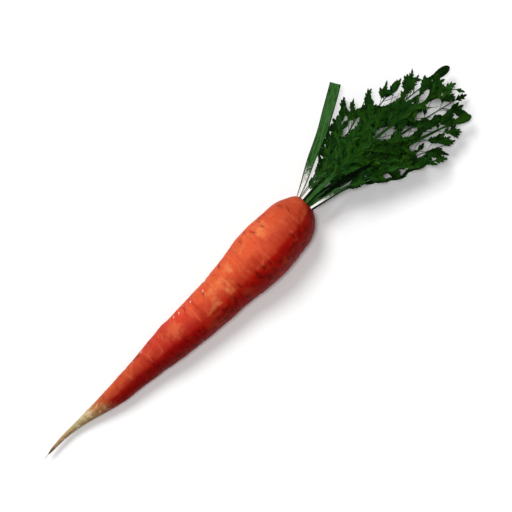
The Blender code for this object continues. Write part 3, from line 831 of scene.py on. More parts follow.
def crease_fields(shares, angles, settings):
    """Depth cut by the creases, and the painted shade that darkens them by depth, over the root's grid."""
    depth = np.zeros((len(shares), len(angles)))
    dark = np.zeros_like(depth)
    row, turn = shares[:, None], angles[None, :]
    for place, middle, half_arc, deepest in CREASES:
        away = (row - place) * ROOT_LENGTH
        fade = arc_fade(arc_distance(turn, middle), half_arc)
        depth += deepest * bell(away, CREASE_REACH) * fade
        dark = np.maximum(dark, CREASE_SHADE_DARKNESS * bell(away, CREASE_SHADE_REACH) * fade)
    rng = random.Random(settings.seed)
    for _ in range(settings.crease_count):
        share = SMALL_FROM + SMALL_OVER * rng.random() ** SMALL_CROWDING
        middle = rng.uniform(-180, 180)
        half_arc = rng.uniform(*NARROW_ARCS) + NARROW_ARC_GROWTH * (1 - share)
        phase, lean = rng.uniform(0, 6.28), rng.uniform(-SMALL_LEAN, SMALL_LEAN)
        deepest = rng.uniform(*SMALL_DEPTHS) * (0.5 + 0.5 * share)
        width, shade = rng.uniform(*NARROW_WIDTHS), NARROW_SHADE
        if rng.random() < BROAD_SHARE:
            width, shade = rng.uniform(*BROAD_WIDTHS), BROAD_SHADE
            half_arc = rng.uniform(*BROAD_ARCS) / math.sqrt(share)
        side = arc_distance(turn, middle)
        bend = lean * side / half_arc + SMALL_SWAY * np.sin(side / SMALL_SWAY_ARC + phase)
        away = (row - share) * ROOT_LENGTH - bend
        fade = arc_fade(side, half_arc)
        cut = bell(away, width) * fade
        lip = bell(away - LIP_AWAY * width, LIP_WIDTH * width) * fade
        depth += deepest * (cut - LIP_HEIGHT * lip)
        dark = np.maximum(dark, shade * cut * min(1.0, deepest / DARKEST_DEPTH))
    return depth, dark


def swelling_fields(shares, angles):
    """Height added by the swellings and the scars, and where the scars are painted pale as a highlight."""
    high = np.zeros((len(shares), len(angles)))
    scar = np.zeros_like(high)
    row, turn = shares[:, None], angles[None, :]
    for place, middle, height, reach, arc in SWELLINGS:
        side = arc_distance(turn, middle)
        high += height * bell((row - place) * ROOT_LENGTH, reach) * bell(side, arc)
    for place, middle in GLINT_SCARS:
        side = arc_distance(turn, middle)
        away = (row - place) * ROOT_LENGTH - SCAR_SLANT * side
        spot = bell(away, SCAR_WIDTH) * bell(side, SCAR_ARC)
        high += SCAR_HEIGHT * spot
        scar = np.maximum(scar, np.clip(spot * SCAR_STRENGTH - SCAR_CUT_OFF, 0, 1))
    return high, scar


def flank_share(degrees, share):
    """How strong the flank's painted shade is, by degrees round from the top towards the far flank."""
    ledge = climb(share, *FLANK_LEDGE_START) * (1 - climb(share, *FLANK_LEDGE_END))
    low, high = FLANK_LEDGE_HEIGHT
    step = low + (high - low) * ledge
    rise = (1 - step) * climb(degrees, *FLANK_RISE) + step * climb(degrees, *FLANK_LEDGE)
    return rise * (1 - FLANK_FADE_DEPTH * climb(degrees, *FLANK_FADE))


def rootlets(settings):
    """Short dry rootlets along the lit side of the root, each as its own closed tube."""
    rng = random.Random(settings.seed + 1)
    for _ in range(settings.rootlet_count):
        share = rng.uniform(*ROOTLET_SHARES)
        angle = math.radians(rng.uniform(*ROOTLET_ANGLES))
        across, height = root_middle(share)
        outward = Vector((0.0, math.sin(angle), math.cos(angle)))
        radius = along(ROOT_PROFILE, share) * ROOT_RADIUS - ROOTLET_RADIUS
        x = (share - REST_SHARE) * ROOT_LENGTH
        foot = Vector((x, across - REST_ACROSS, height)) + outward * radius
        back, up = (rng.uniform(*ends) for ends in ROOTLET_LEAN)
        way = (outward + Vector((back, 0.0, up))).normalized() * rng.uniform(*ROOTLET_LENGTHS)
        back, down = (rng.uniform(*ends) for ends in ROOTLET_SAG)
        sag = Vector((back, 0.0, down)) * way.length
        side = way.cross(outward + Vector(ROOTLET_ASIDE)).normalized()
        lift = side.cross(way).normalized()
        verts = []
        for ring in range(ROOTLET_RINGS):
            reach = ring / (ROOTLET_RINGS - 1)
            middle = foot + way * reach + sag * reach * reach
            middle.z = max(middle.z, 2 * ROOTLET_RADIUS)
            thick = ROOTLET_RADIUS * (1 - ROOTLET_TAPER * reach)
            for k in range(ROOTLET_SIDES):
                turn = 2 * math.pi * k / ROOTLET_SIDES
                verts.append(middle + (side * math.cos(turn) + lift * math.sin(turn)) * thick)
        faces = ring_faces(ROOTLET_RINGS, ROOTLET_SIDES)
        faces.append(tuple(range(ROOTLET_SIDES)))
        faces.append(tuple(len(verts) - 1 - k for k in range(ROOTLET_SIDES)))
        yield verts, faces


def root_relief(share, radius, angles, settings):
    """Soft lumps and growth rings round the root at one share of its length."""
    x = share * ROOT_LENGTH
    relief = np.empty(len(angles))
    for k, angle in enumerate(angles):
        y, z = math.sin(angle), math.cos(angle)
        lump = Vector((x, y * radius, z * radius)) * Vector(LUMP_SCALE)
        wrinkle = Vector((x, y, z)) * Vector(WRINKLE_SCALE)
        relief[k] = noise.fractal(lump, 1.0, 2.0, 3) * settings.lump_height
        relief[k] += noise.noise(wrinkle) * settings.wrinkle_height
    return relief


def make_root_skin(settings):
    """The root: a fine closed skin over the turned form, with creases, swellings and a sunk crown."""
    shares = np.linspace(0.0, 1.0, settings.rows)
    angles = np.linspace(0.0, 2 * np.pi, settings.sides, endpoint=False)
    depth, dark = crease_fields(shares, angles, settings)
    high, scar = swelling_fields(shares, angles)
    points = Points("tail", "flank", "crease", "scar", "crown")

    def add_ring(share, radius, back, relief, row, crown):
        across, height = root_middle(share)
        x = (share - REST_SHARE) * ROOT_LENGTH - back
        twist = FLANK_TWIST * (1 - climb(share, *FLANK_TWIST_END))
        tail = min(1.0, share / TAIL_SHARE)
        for k, angle in enumerate(angles):
            radial = radius + relief[k]
            y = across - REST_ACROSS + radial * math.sin(angle)
            z = max(0.0, height + radial * math.cos(angle))
            from_top = -math.degrees(math.remainder(angle, 2 * math.pi))
            flank = flank_share(from_top + twist, share)
            points.add((x, y, z), tail, flank, dark[row, k], 0.0 if crown else scar[row, k], crown)

    for row, share in enumerate(shares):
        radius = along(ROOT_PROFILE, share) * ROOT_RADIUS
        relief = root_relief(share, radius, angles, settings) + high[row] - depth[row]
        add_ring(share, radius, 0.0, relief * min(1.0, radius / SMOOTH_BELOW_RADIUS), row, 0.0)
    last, flat = settings.rows - 1, np.zeros(len(angles))
    for number, (wide, back) in enumerate(CROWN_ROWS):
        green = min(1.0, CROWN_GREEN_START + CROWN_GREEN_STEP * number)
        add_ring(1.0, wide * CROWN_RIM_RADIUS, back, flat, last, green)
    sides = settings.sides
    faces = ring_faces(settings.rows + len(CROWN_ROWS), sides)
    end = len(points.places) - sides
    for first, share, back in ((0, 0.0, 0.0), (end, 1.0, CROWN_ROWS[-1][1])):
        across, height = root_middle(share)
        centre = len(points.places)
        x = (share - REST_SHARE) * ROOT_LENGTH - back
        points.add((x, across - REST_ACROSS, height), share, 0.0, 0.0, 0.0, share)
        for k in range(sides):
            a, b = first + k, first + (k + 1) % sides
            faces.append((centre, a, b) if first else (centre, b, a))
    first_hair = len(faces)
    for hair_verts, hair_faces in rootlets(settings):
        faces += [tuple(corner + len(points.places) for corner in face) for face in hair_faces]
        for vert in hair_verts:
            points.add(vert, 0.0, 0.0, 0.0, 0.0, 0.0)
    materials = [root_skin_material(settings), hair_material()]
    skin = new_mesh_object("root_skin", points.places, faces, materials)
    for face in skin.data.polygons[first_hair:]:
        face.material_index = 1
    points.store(skin.data)
    turn_outwards(skin.data)
    skin.data.shade_smooth()
    return skin


def layer_height(layer, x, y):
    """Height of a leaf layer above the table, x and y from the crown. Layers never cross."""
    reach = math.hypot(x, y)
    low = LAYER_LOW_AT_TIPS + (LAYER_LOW_AT_CROWN - LAYER_LOW_AT_TIPS) * (
        1 - smooth_step(reach / LAYER_SETTLE_REACH)
    )
    high = LAYER_HIGH_AT_CROWN + LAYER_RISE * reach - LAYER_DROOP * reach * reach
    side = LAYER_SIDE_FALL * min(1.0, (y / LAYER_SIDE_REACH) ** 2)
    share = layer / (LAYER_COUNT - 1)
    wave = WAVE_HEIGHT * math.sin(2 * math.pi * (x + WAVE_SLANT * y) / WAVE_LENGTH)
    blade_share = smooth_step(reach / LAYER_SETTLE_REACH)
    return low + (high - low) * (1 - side) * share + wave * share * blade_share


def layer_gap(x, y):
    """Height between two neighbouring layers."""
    return (layer_height(LAYER_COUNT - 1, x, y) - layer_height(0, x, y)) / (LAYER_COUNT - 1)


def turned(vector, degrees):
    return Matrix.Rotation(math.radians(degrees), 2) @ vector


def room(place, heading):
    """Distance from a place to the edge of the leaves' spread, along a heading."""
    distance = 0.0
    while distance < LONGEST_PINNA:
        spot = place + heading * distance
        inside = along(RIGHT_SPREAD, spot.x) < spot.y < along(LEFT_SPREAD, spot.x)
        if not inside or spot.x > SPREAD[-1][0]:
            break
        distance += ROOM_STEP
    return distance


def blade_outline(share):
    """Length of the side ribs along the blade, as a share of the longest."""
    if share < BLADE_FULL_AT:
        grown = math.sin(math.pi / 2 * share / BLADE_FULL_AT)
        return BLADE_START_SHARE + (1 - BLADE_START_SHARE) * grown
    return 1 - BLADE_SHORTENING * ((share - BLADE_FULL_AT) / (1 - BLADE_FULL_AT)) ** BLADE_CURVE


class Rachis:
    """A frond's middle line in plan, a quadratic curve from the crown to its tip."""

    def __init__(self, across, tip, bow):
        self.start = Vector((STALK_START, across))
        self.end = Vector(tip)
        chord = self.end - self.start
        self.length = chord.length
        side = Vector((-chord.y, chord.x)).normalized()
        self.pull = (self.start + self.end) / 2 + side * 2 * bow

    def at(self, distance):
        t = distance / self.length
        return self.start * (1 - t) ** 2 + self.pull * 2 * t * (1 - t) + self.end * t * t

    def heading(self, distance):
        t = distance / self.length
        slope = (self.pull - self.start) * (1 - t) + (self.end - self.pull) * t
        return slope.normalized()


def in_opening(point, margin):
    """Whether a place lies in an opening, or within the margin of one."""
    for x, y, half_length, half_width, degrees in OPENINGS:
        away = turned(point - Vector((x, y)), -degrees)
        if (away.x / (half_length + margin)) ** 2 + (away.y / (half_width + margin)) ** 2 < 1:
            return True
    return False


def is_clear(spot, heading, length):
    """Whether a leaflet's middle line keeps out of the openings and within the lower edge."""
    for step in (0.25, 0.5, 0.75, 1.0):
        if in_opening(spot + heading * length * step, OPENING_MARGIN):
            return False
    tip = spot + heading * length
    low = along(LOWER_EDGE, tip.x) - LOWER_EDGE_MARGIN
    return tip.x > LOWER_EDGE[-1][0] or tip.y > low


class FrondPlan:
    """A frond's ribs and leaflets laid out in plan, then lifted onto its layer."""

    def __init__(self, spec, settings):
        self.name, across, self.layer, tip, bow, start, self.half_width, stalk, end = spec
        self.stalk_half, self.end_length, self.blade_start = stalk, end, start
        self.rachis = Rachis(across, tip, bow)
        parts = [self.rachis.length * k / MIDDLE_PARTS for k in range(MIDDLE_PARTS + 1)]
        self.middles = [self.rachis.at(distance) for distance in parts]
        self.settings = settings
        self.extra = random.Random(self.name + "leaf" + str(settings.seed))
        self.ribs = []
        self.leaves = []
        self.shade = 0.5
        self.lay_out(random.Random(self.name))
        self.cover_rachis()
        self.fill_gaps()
        self.fill_low()
        self.add_strays()
        self.add_rows()

    def height(self, x, y):
        spot = Vector((x, y))
        nearest = min((spot - middle).length for middle in self.middles)
        droop = CAMBER_SHARE * min(1.0, nearest / self.half_width) ** 2
        blade = smooth_step((math.hypot(x, y) - CAMBER_FROM) / CAMBER_REACH)
        return layer_height(self.layer, x, y) - droop * blade * layer_gap(x, y)

    def lifted(self, spot):
        return Vector((spot.x, spot.y, self.height(spot.x, spot.y)))

    def leaf(self, spot, heading, length, kind, broad=1.0, lift=0.0):
        """One leaflet that lies in the layer's slope, tilted at random, clear of the openings."""
        clear = (swing for swing in LEAF_SWINGS if is_clear(spot, turned(heading, swing), length))
        swing = next(clear, None)
        if swing is None:
            return
        heading = turned(heading, swing) * SLOPE_STEP
        base = self.lifted(spot)
        forward = (self.lifted(spot + heading) - base).normalized()
        side = (self.lifted(spot + turned(heading, 90)) - base).normalized()
        up = forward.cross(side).normalized()
        side = up.cross(forward)
        turn = Matrix((forward, side, up)).transposed().to_quaternion()
        wobble = self.settings.leaflet_tilt
        tilt = Euler([self.extra.uniform(*ends) * wobble for ends in LEAF_TILT]).to_quaternion()
        swing = self.extra.uniform(-SHADE_SPREAD, SHADE_SPREAD) * min(1.0, 4 * self.shade)
        shade = max(0.0, self.shade + swing)
        turn = turn @ tilt
        foot = base + up * lift
        lowest = min((foot + turn @ Vector(way) * length).z for way in LEAFLET_LOW_POINTS)
        foot.z += max(0.0, FLOOR_CLEARANCE - lowest)
        self.leaves.append((foot, turn.to_euler(), length, broad, kind, shade))

    def pinna(self, spot, heading, forward, length):
        """A side rib from the rachis with its leaflets, curling forwards."""
        if length < LEAFLET_LENGTH + LEAFLET_STEP:
            self.leaf(spot, heading, max(SHORTEST_PINNA, length), KIND_FIVE)
            return
        pairs = round((length - LEAFLET_LENGTH) / LEAFLET_STEP) - 1
        middle = spot.copy()
        line = [spot.copy()]
        size = self.settings.leaflet_size
        for k in range(pairs + 1):
            share = (k + 1) / (pairs + 1)
            now = turned(heading, forward * PINNA_CURL * share)
            before = middle
            middle = middle + now * LEAFLET_STEP
            line.append(middle)
            reach = LEAFLET_LENGTH * (LEAFLET_LONGEST - LEAFLET_SHORTENING * share) * size
            if k == 0:
                reach *= FIRST_PAIR_SHARE
            away = LEAFLET_ANGLE * forward
            for sign in (1, -1):
                swing = self.extra.uniform(*LEAFLET_SWING)
                grown = reach * self.extra.uniform(*GROWTH_SPREAD)
                lean = sign * away * self.settings.leaflet_lean + swing
                lean += forward * self.settings.forward_pull
                kind, broad = self.extra.choice(RIB_KINDS), self.extra.uniform(*BREADTHS)
                self.leaf(before.lerp(middle, 0.5), turned(now, lean), grown, kind, broad)
                if k and self.extra.random() < self.settings.second_leaflets:
                    kind = self.extra.choice(FILL_KINDS)
                    broad = self.extra.uniform(*SECOND_BREADTHS)
                    lean += sign * self.extra.uniform(*SECOND_LEAN)
                    foot, grown = before.lerp(middle, SECOND_PAIR_AT), grown * SECOND_PAIR_SHARE
                    self.leaf(foot, turned(now, lean), grown, kind, broad)
        last = turned(heading, forward * PINNA_CURL)
        self.leaf(middle, last, LEAFLET_LENGTH * END_LEAFLET_SHARE * size, KIND_SEVEN)
        self.add_rib(line)

    def add_rib(self, line):
        """A rib along a line, thinning outwards and thinnest where it crosses an opening."""
        count = RIB_PARTS * (len(line) - 1) + 1
        rib = []
        for k in range(count):
            step, part = divmod(k, RIB_PARTS)
            place = line[step].lerp(line[min(step + 1, len(line) - 1)], part / RIB_PARTS)
            radius = max(RIB_RADIUS_TIP, RIB_RADIUS - RIB_THINNING * k / RIB_PARTS)
            if in_opening(place, OPENING_MARGIN):
                radius = RIB_RADIUS_OPEN
            rib.append((self.lifted(place), radius))
        self.ribs.append(rib)

    def lay_out(self, rng):
        rachis = self.rachis
        pairs = max(LEAST_PAIRS, round((rachis.length - self.blade_start) / PINNA_SPACING))
        spacing = (rachis.length - self.blade_start) / pairs
        for number in range(pairs):
            joint = self.blade_start + spacing * number
            for sign in (1, -1):
                self.new_shade()
                angle = PINNA_ANGLE + rng.uniform(-PINNA_ANGLE_SPREAD, PINNA_ANGLE_SPREAD)
                reach = self.half_width * blade_outline(number / pairs)
                reach *= rng.uniform(*PINNA_WIDTH_SPREAD)
                length = reach / math.sin(math.radians(PINNA_ANGLE - PINNA_CURL / 2))
                heading = turned(rachis.heading(joint), sign * angle)
                spot = rachis.at(joint)
                length = min(length, room(spot, heading) * rng.uniform(*PINNA_ROOM_SPREAD))
                self.pinna(spot, heading, -sign, length)
                if number and self.settings.between_leaflets > self.extra.random():
                    middle = rachis.at(joint - 0.5 * spacing)
                    lean = sign * self.extra.uniform(*BETWEEN_LEAN)
                    across = turned(rachis.heading(joint), lean)
                    grown = LEAFLET_LENGTH * self.extra.uniform(*COVER_SPREAD)
                    self.leaf(middle, across, grown, KIND_NARROW)
        kind = KIND_OVAL if self.end_length > OVAL_END_FROM else KIND_SEVEN
        self.leaf(rachis.at(rachis.length), rachis.heading(rachis.length), self.end_length, kind)

    def new_shade(self):
        """Draws the tint that the next leaflets share; upper layers are painted a little lighter, as
        painted light on the top of the foliage.
        """
        share = self.layer / (LAYER_COUNT - 1) - 0.5
        self.shade = SHADE_MIDDLE + SHADE_BY_LAYER * share + self.extra.uniform(*SHADE_SWING)

    def fill_low(self):
        """Short leaflets along the bare stalk of the left-hand fronds, down towards the crown."""
        if self.name not in LOW_LEAVED:
            return
        distance = self.settings.low_start
        while distance < self.blade_start:
            self.new_shade()
            heading = self.rachis.heading(distance)
            for sign in (1, -1):
                turn = sign * self.extra.uniform(*LOW_LEAN)
                length = LEAFLET_LENGTH * self.extra.uniform(*LOW_SPREAD)
                foot = self.rachis.at(distance)
                self.leaf(foot, turned(heading, turn), length, KIND_NARROW, COVER_BREADTH)
            distance += self.settings.cover_step

    def fill_gaps(self):
        """Leaflets from the nearest rib over bare spots in the blade that aren't openings."""
        shares = FOOTPRINT_SHARES
        covered = [self.footprint(leaf, share) for leaf in self.leaves for share in shares]
        feet = [point.xy for rib in self.ribs for point, _ in rib]
        columns = int((SPREAD[-1][0] - self.blade_start) / GAP_STEP)
        for column in range(columns):
            x = self.blade_start + column * GAP_STEP
            rows = int((along(LEFT_SPREAD, x) - along(RIGHT_SPREAD, x)) / GAP_STEP)
            for row in range(1, rows):
                spot = Vector((x, along(RIGHT_SPREAD, x) + row * GAP_STEP))
                foot = min(feet, key=lambda point: (point - spot).length)
                away = spot - foot
                if away.length > GAP_REACH or any((spot - c).length < GAP_COVER for c in covered):
                    continue
                self.new_shade()
                heading = self.rachis.heading(x) + away * GAP_PULL
                length = away.length + self.extra.uniform(*GAP_OVERLAP)
                before = len(self.leaves)
                kind = self.extra.choice(FILL_KINDS)
                self.leaf(foot, heading.normalized(), length, kind, GAP_BREADTH)
                covered += [self.footprint(leaf, 0.5) for leaf in self.leaves[before:]]

    def footprint(self, leaf, share):
        foot, turn, length = leaf[:3]
        return (foot + turn.to_matrix() @ Vector((length * share, 0, 0))).xy

    def add_rows(self):
        """Leaflets one over the next along a line, as a near-black painted shadow stroke or a smooth edge.
        """
        for name, number, length, shade, lift, points in ROWS:
            if name != self.name:
                continue
            across = tuple((x, y) for x, y, _ in points)
            breadths = tuple((x, broad) for x, _, broad in points)
            for k in range(number):
                x = points[0][0] + (points[-1][0] - points[0][0]) * k / (number - 1)
                spot = Vector((x, along(across, x)))
                heading = Vector((AHEAD, along(across, x + AHEAD) - spot.y)).normalized()
                self.shade = shade
                heading = turned(heading, self.extra.uniform(*ROW_SWING))
                self.leaf(spot, heading, length, KIND_NARROW, along(breadths, x), lift)

    def add_strays(self):
        """Side ribs that carry a lone leaflet out past the edge of the blade."""
        for name, foot, degrees, length, kind, broad, shade in STRAYS:
            if name != self.name:
                continue
            foot, heading = Vector(foot), turned(Vector((1.0, 0.0)), degrees)
            away, nearest = min(((foot - spot).length, k) for k, spot in enumerate(self.middles))
            from_crown = max(self.blade_start, self.rachis.length * nearest / MIDDLE_PARTS - away)
            start = self.rachis.at(min(from_crown, self.rachis.length))
            line = [start.lerp(foot, k / STRAY_RIB_PARTS) for k in range(STRAY_RIB_PARTS + 1)]
            self.ribs.append([(self.lifted(point), STRAY_RIB_RADIUS) for point in line])
            self.shade = shade
            self.leaf(foot, heading, length, kind, broad)

    def cover_rachis(self):
        """Leaflets that lie forwards over the stalk where it runs through the blade."""
        rachis = self.rachis
        distance = self.blade_start
        while distance < COVER_END_SHARE * rachis.length:
            self.new_shade()
            lean = self.extra.choice((-1, 1)) * self.extra.uniform(*COVER_LEAN)
            heading = turned(rachis.heading(distance), lean)
            length = LEAFLET_LENGTH * self.extra.uniform(*COVER_SPREAD)
            lift = self.stalk_half * 0.5 * (1 - distance / rachis.length)
            kind = self.extra.choice(FILL_KINDS)
            self.leaf(rachis.at(distance), heading, length, kind, COVER_BREADTH, lift)
            distance += self.settings.cover_step


def leaflet_object(kind, half, thickness):
    """One cut leaflet as a thin closed blade, folded slightly along its midrib."""
    count = len(half)
    flat = [(m, 0.0) for _, _, m in half] + [(x, y) for x, y, _ in half]
    flat += [(x, -LEAFLET_OTHER_SIDE * y) for x, y, _ in half] + [(1.0, 0.0)]
    total = len(flat)
    drop = 0.5 * thickness / LEAFLET_LENGTH

    def lift(x, y):
        return LEAFLET_FOLD * abs(y) - LEAFLET_DROOP * x * x - LEAFLET_EDGE_SAG * y * y

    verts = [(x, y, lift(x, y) + drop) for x, y in flat]
    verts += [(x, y, lift(x, y) - drop) for x, y in flat]
    top = []
    for k in range(count - 1):
        top.append((k, k + 1, count + k + 1, count + k))
        top.append((k + 1, k, 2 * count + k, 2 * count + k + 1))
    top.append((count - 1, total - 1, 2 * count - 1))
    top.append((total - 1, count - 1, 3 * count - 1))
    bottom = [tuple(total + k for k in reversed(face)) for face in top]
    rim = [0, *range(2 * count, 3 * count), total - 1, *reversed(range(count, 2 * count))]
    sides = [(a, a + total, b + total, b) for a, b in zip(rim, rim[1:] + rim[:1])]
    made = new_mesh_object(f"leaflet_{kind}", verts, top + bottom + sides, [])
    turn_outwards(made.data)
    uv = made.data.uv_layers.new(name="blade")
    for loop in made.data.loops:
        x, y, _ = verts[loop.vertex_index]
        uv.data[loop.index].uv = (0.5 + y, x)
    made.data.shade_smooth()
    made.data.set_sharp_from_angle(angle=LEAFLET_SHARP_ANGLE)
    return made


def tube_loft(name, stations, material, profile, tint):
    """A closed stalk lofted through stations of (centre, side, up, half width, half height, place)."""
    points = Points("margin", "cut", "tint")
    size = len(profile)
    for centre, side, up, half, thick, _ in stations:
        for across, high in profile:
            place = centre + side * (across * half) + up * (high * thick)
            points.add(place, abs(across), 0.0, tint)
    faces = ring_faces(len(stations), size)
    for cut, first in enumerate((0, (len(stations) - 1) * size)):
        centre = len(points.places)
        middle = sum(points.places[first : first + size], Vector()) / size
        points.add(middle, 0.0, cut, tint)
        for k in range(size):
            faces.append((centre, first + k, first + (k + 1) % size))
    made = new_mesh_object(name, points.places, faces, [material])
    turn_outwards(made.data)
    uv = made.data.uv_layers.new(name="blade")
    for loop in made.data.loops:
        row, k = divmod(loop.vertex_index, size)
        row = min(row, len(stations) - 1)
        across = profile[k][0] if loop.vertex_index < size * len(stations) else 0.0
        uv.data[loop.index].uv = (0.5 + 0.5 * across, stations[row][5])
    points.store(made.data)
    made.data.shade_smooth()
    made.data.set_sharp_from_angle(angle=STALK_SHARP_ANGLE)
    return made


def stalk_profile(channel, points=9):
    """Cross-section of a stalk with a channel along its top, as (across, up) pairs from -1 to 1."""
    top, bottom = [], []
    for k in range(points):
        across = -1 + 2 * k / (points - 1)
        crest = STALK_CREST * math.sqrt(max(0.0, 1 - across**4))
        top.append((across, crest - channel * (1 - across * across)))
    for k in range(1, points - 1):
        across = 1 - 2 * k / (points - 1)
        bottom.append((across, -math.sqrt(max(0.0, 1 - across**2))))
    return top + bottom


def make_rachis(plan, material):
    """The frond's own stalk, channelled near the crown and thinning to its tip."""
    rachis = plan.rachis
    stoutness = STALK_STOUTNESS * plan.stalk_half * STALK_WIDTHS.get(plan.name, 1.0)
    stations = []
    for k in range(STALK_STATIONS):
        distance = rachis.length * k / (STALK_STATIONS - 1)
        share = distance / rachis.length
        swell = 1 + STALK_SWELL * math.sin(math.pi * min(1.0, distance / plan.blade_start))
        half = max(STALK_HALF_LEAST, stoutness * swell * (1 - STALK_TAPER * share))
        thick = max(STALK_THICK_LEAST, STALK_THICK * (1 - STALK_TAPER * share))
        if share > STALK_POINT_FROM:
            half *= STALK_POINT_WIDTH
        spot, heading = rachis.at(distance), rachis.heading(distance)
        centre = plan.lifted(spot)
        ahead = (plan.lifted(spot + heading * AHEAD) - centre).normalized()
        side = Vector((-heading.y, heading.x, 0.0))
        up = ahead.cross(side).normalized()
        stations.append((centre, side, up, half, thick, distance * UV_PER_METRE))
    tint = STALK_TINTS.get(plan.name, COMMON_STALK_TINT)
    profile = stalk_profile(STALK_CHANNEL)
    return tube_loft(plan.name + "_rachis", stations, material, profile, tint)


def skeleton_object(plan):
    """Rib lines as edges and leaflet feet as loose points, with what the tree reads on each."""
    points = Points("thick", "turn", "size", "kind", "tint")
    edges = []
    for rib in plan.ribs:
        for k, (place, radius) in enumerate(rib):
            if k:
                edges.append((len(points.places) - 1, len(points.places)))
            points.add(place, radius, (0, 0, 0), (0, 0, 0), RIB_KIND, RIB_TINT)
    for place, turn, length, broad, kind, shade in plan.leaves:
        points.add(place, 0.0, tuple(turn), (length, length * broad, length), kind, shade)
    made = new_mesh_object(plan.name + "_skeleton", points.places, [], [], edges)
    points.store(made.data)
    return made


def frond_tree():
    """Geometry Nodes: tubes along the rib lines and a leaflet on each loose point."""
    tree = bpy.data.node_groups.new("leaflets_on_ribs", "GeometryNodeTree")
    sockets = {}

    def add_socket(name, kind, direction="INPUT", default=None):
        made = tree.interface.new_socket(name=name, in_out=direction, socket_type=kind)
        if default is not None:
            made.default_value = default
        sockets[name] = made.identifier

    add_socket("Geometry", "NodeSocketGeometry")
    add_socket("Rachis", "NodeSocketObject")
    for kind in range(len(LEAFLET_OUTLINES)):
        add_socket(f"Leaflet {kind}", "NodeSocketObject")
    add_socket("Leaf Material", "NodeSocketMaterial")
    add_socket("Rib Material", "NodeSocketMaterial")
    add_socket("Rib Sides", "NodeSocketInt", default=6)
    add_socket("Leaflet Scale", "NodeSocketFloat", default=1.0)
    add_socket("Result", "NodeSocketGeometry", "OUTPUT")

    def node(kind, inputs=None, output=0, **settings):
        return add_node(tree, kind, inputs, **settings).outputs[output]

    def named(name, kind="FLOAT"):
        return node("GeometryNodeInputNamedAttribute", {"Name": name}, "Attribute", data_type=kind)

    def painted(shape, material):
        return node("GeometryNodeSetMaterial", {"Geometry": shape, "Material": given[material]})

    given = add_node(tree, "NodeGroupInput").outputs
    points = given["Geometry"]
    ring = {"Resolution": given["Rib Sides"], "Radius": 1.0}
    path = {
        "Curve": node("GeometryNodeMeshToCurve", {"Mesh": points}),
        "Profile Curve": node("GeometryNodeCurvePrimitiveCircle", ring),
        "Scale": named("thick"),
        "Fill Caps": True,
    }
    tubes = painted(node("GeometryNodeCurveToMesh", path), "Rib Material")
    shapes = add_node(tree, "GeometryNodeJoinGeometry")
    for kind in reversed(range(len(LEAFLET_OUTLINES))):
        shape = {"Object": given[f"Leaflet {kind}"], "As Instance": True}
        tree.links.new(node("GeometryNodeObjectInfo", shape, "Geometry"), shapes.inputs[0])
    is_leaf = {0: named("kind"), 1: RIB_KIND / 2}
    size = {0: named("size", "FLOAT_VECTOR"), "Scale": given["Leaflet Scale"]}
    placing = {
        "Points": points,
        "Selection": node("FunctionNodeCompare", is_leaf, data_type="FLOAT", operation="GREATER_THAN"),
        "Instance": shapes.outputs[0],
        "Pick Instance": True,
        "Instance Index": named("kind"),
        "Rotation": node("FunctionNodeEulerToRotation", {"Euler": named("turn", "FLOAT_VECTOR")}),
        "Scale": node("ShaderNodeVectorMath", size, operation="SCALE"),
    }
    placed = node("GeometryNodeInstanceOnPoints", placing)
    blades = painted(node("GeometryNodeRealizeInstances", {"Geometry": placed}), "Leaf Material")
    rachis = node("GeometryNodeObjectInfo", {"Object": given["Rachis"]}, "Geometry")
    whole = add_node(tree, "GeometryNodeJoinGeometry")
    for part in (blades, tubes, rachis):
        tree.links.new(part, whole.inputs[0])
    add_node(tree, "NodeGroupOutput", {0: whole.outputs[0]})
    return tree, sockets


def plain_copy(source, name):
    """The evaluated object as a plain mesh object at the origin, moved out to the crown."""
    graph = bpy.context.evaluated_depsgraph_get()
    mesh = bpy.data.meshes.new_from_object(source.evaluated_get(graph))
    mesh.name = name
    mesh.transform(Matrix.Translation(CROWN))
    return place_object(name, mesh)


def discard(*objects):
    for obj in objects:
        bpy.data.objects.remove(obj, do_unlink=True)


def make_frond(spec, settings, tree, sockets, shapes, leaf, stalk):
    """One frond with its leaflets, as one plain mesh."""
    plan = FrondPlan(spec, settings)
    rachis = make_rachis(plan, stalk)
    skeleton = skeleton_object(plan)
    grower = skeleton.modifiers.new("Leaflets", "NODES")
    grower.node_group = tree
    grower[sockets["Rachis"]] = rachis
    for kind, shape in enumerate(shapes):
        grower[sockets[f"Leaflet {kind}"]] = shape
    grower[sockets["Leaf Material"]] = leaf
    grower[sockets["Rib Material"]] = leaf
    bpy.context.view_layer.update()
    frond = plain_copy(skeleton, plan.name + "_leaves")
    discard(skeleton, rachis)
    return frond


def clipped_height(x, y):
    """Height of the clipped stalk's middle line, half way up the channel's sides."""
    raised = (CLIPPED_LAYER - CLIPPED_LAYER_AT_CROWN) * smooth_step(x / CLIPPED_CLIMB_REACH)
    return layer_height(CLIPPED_LAYER_AT_CROWN + raised, x, y) + 0.5 * CLIPPED_RISE


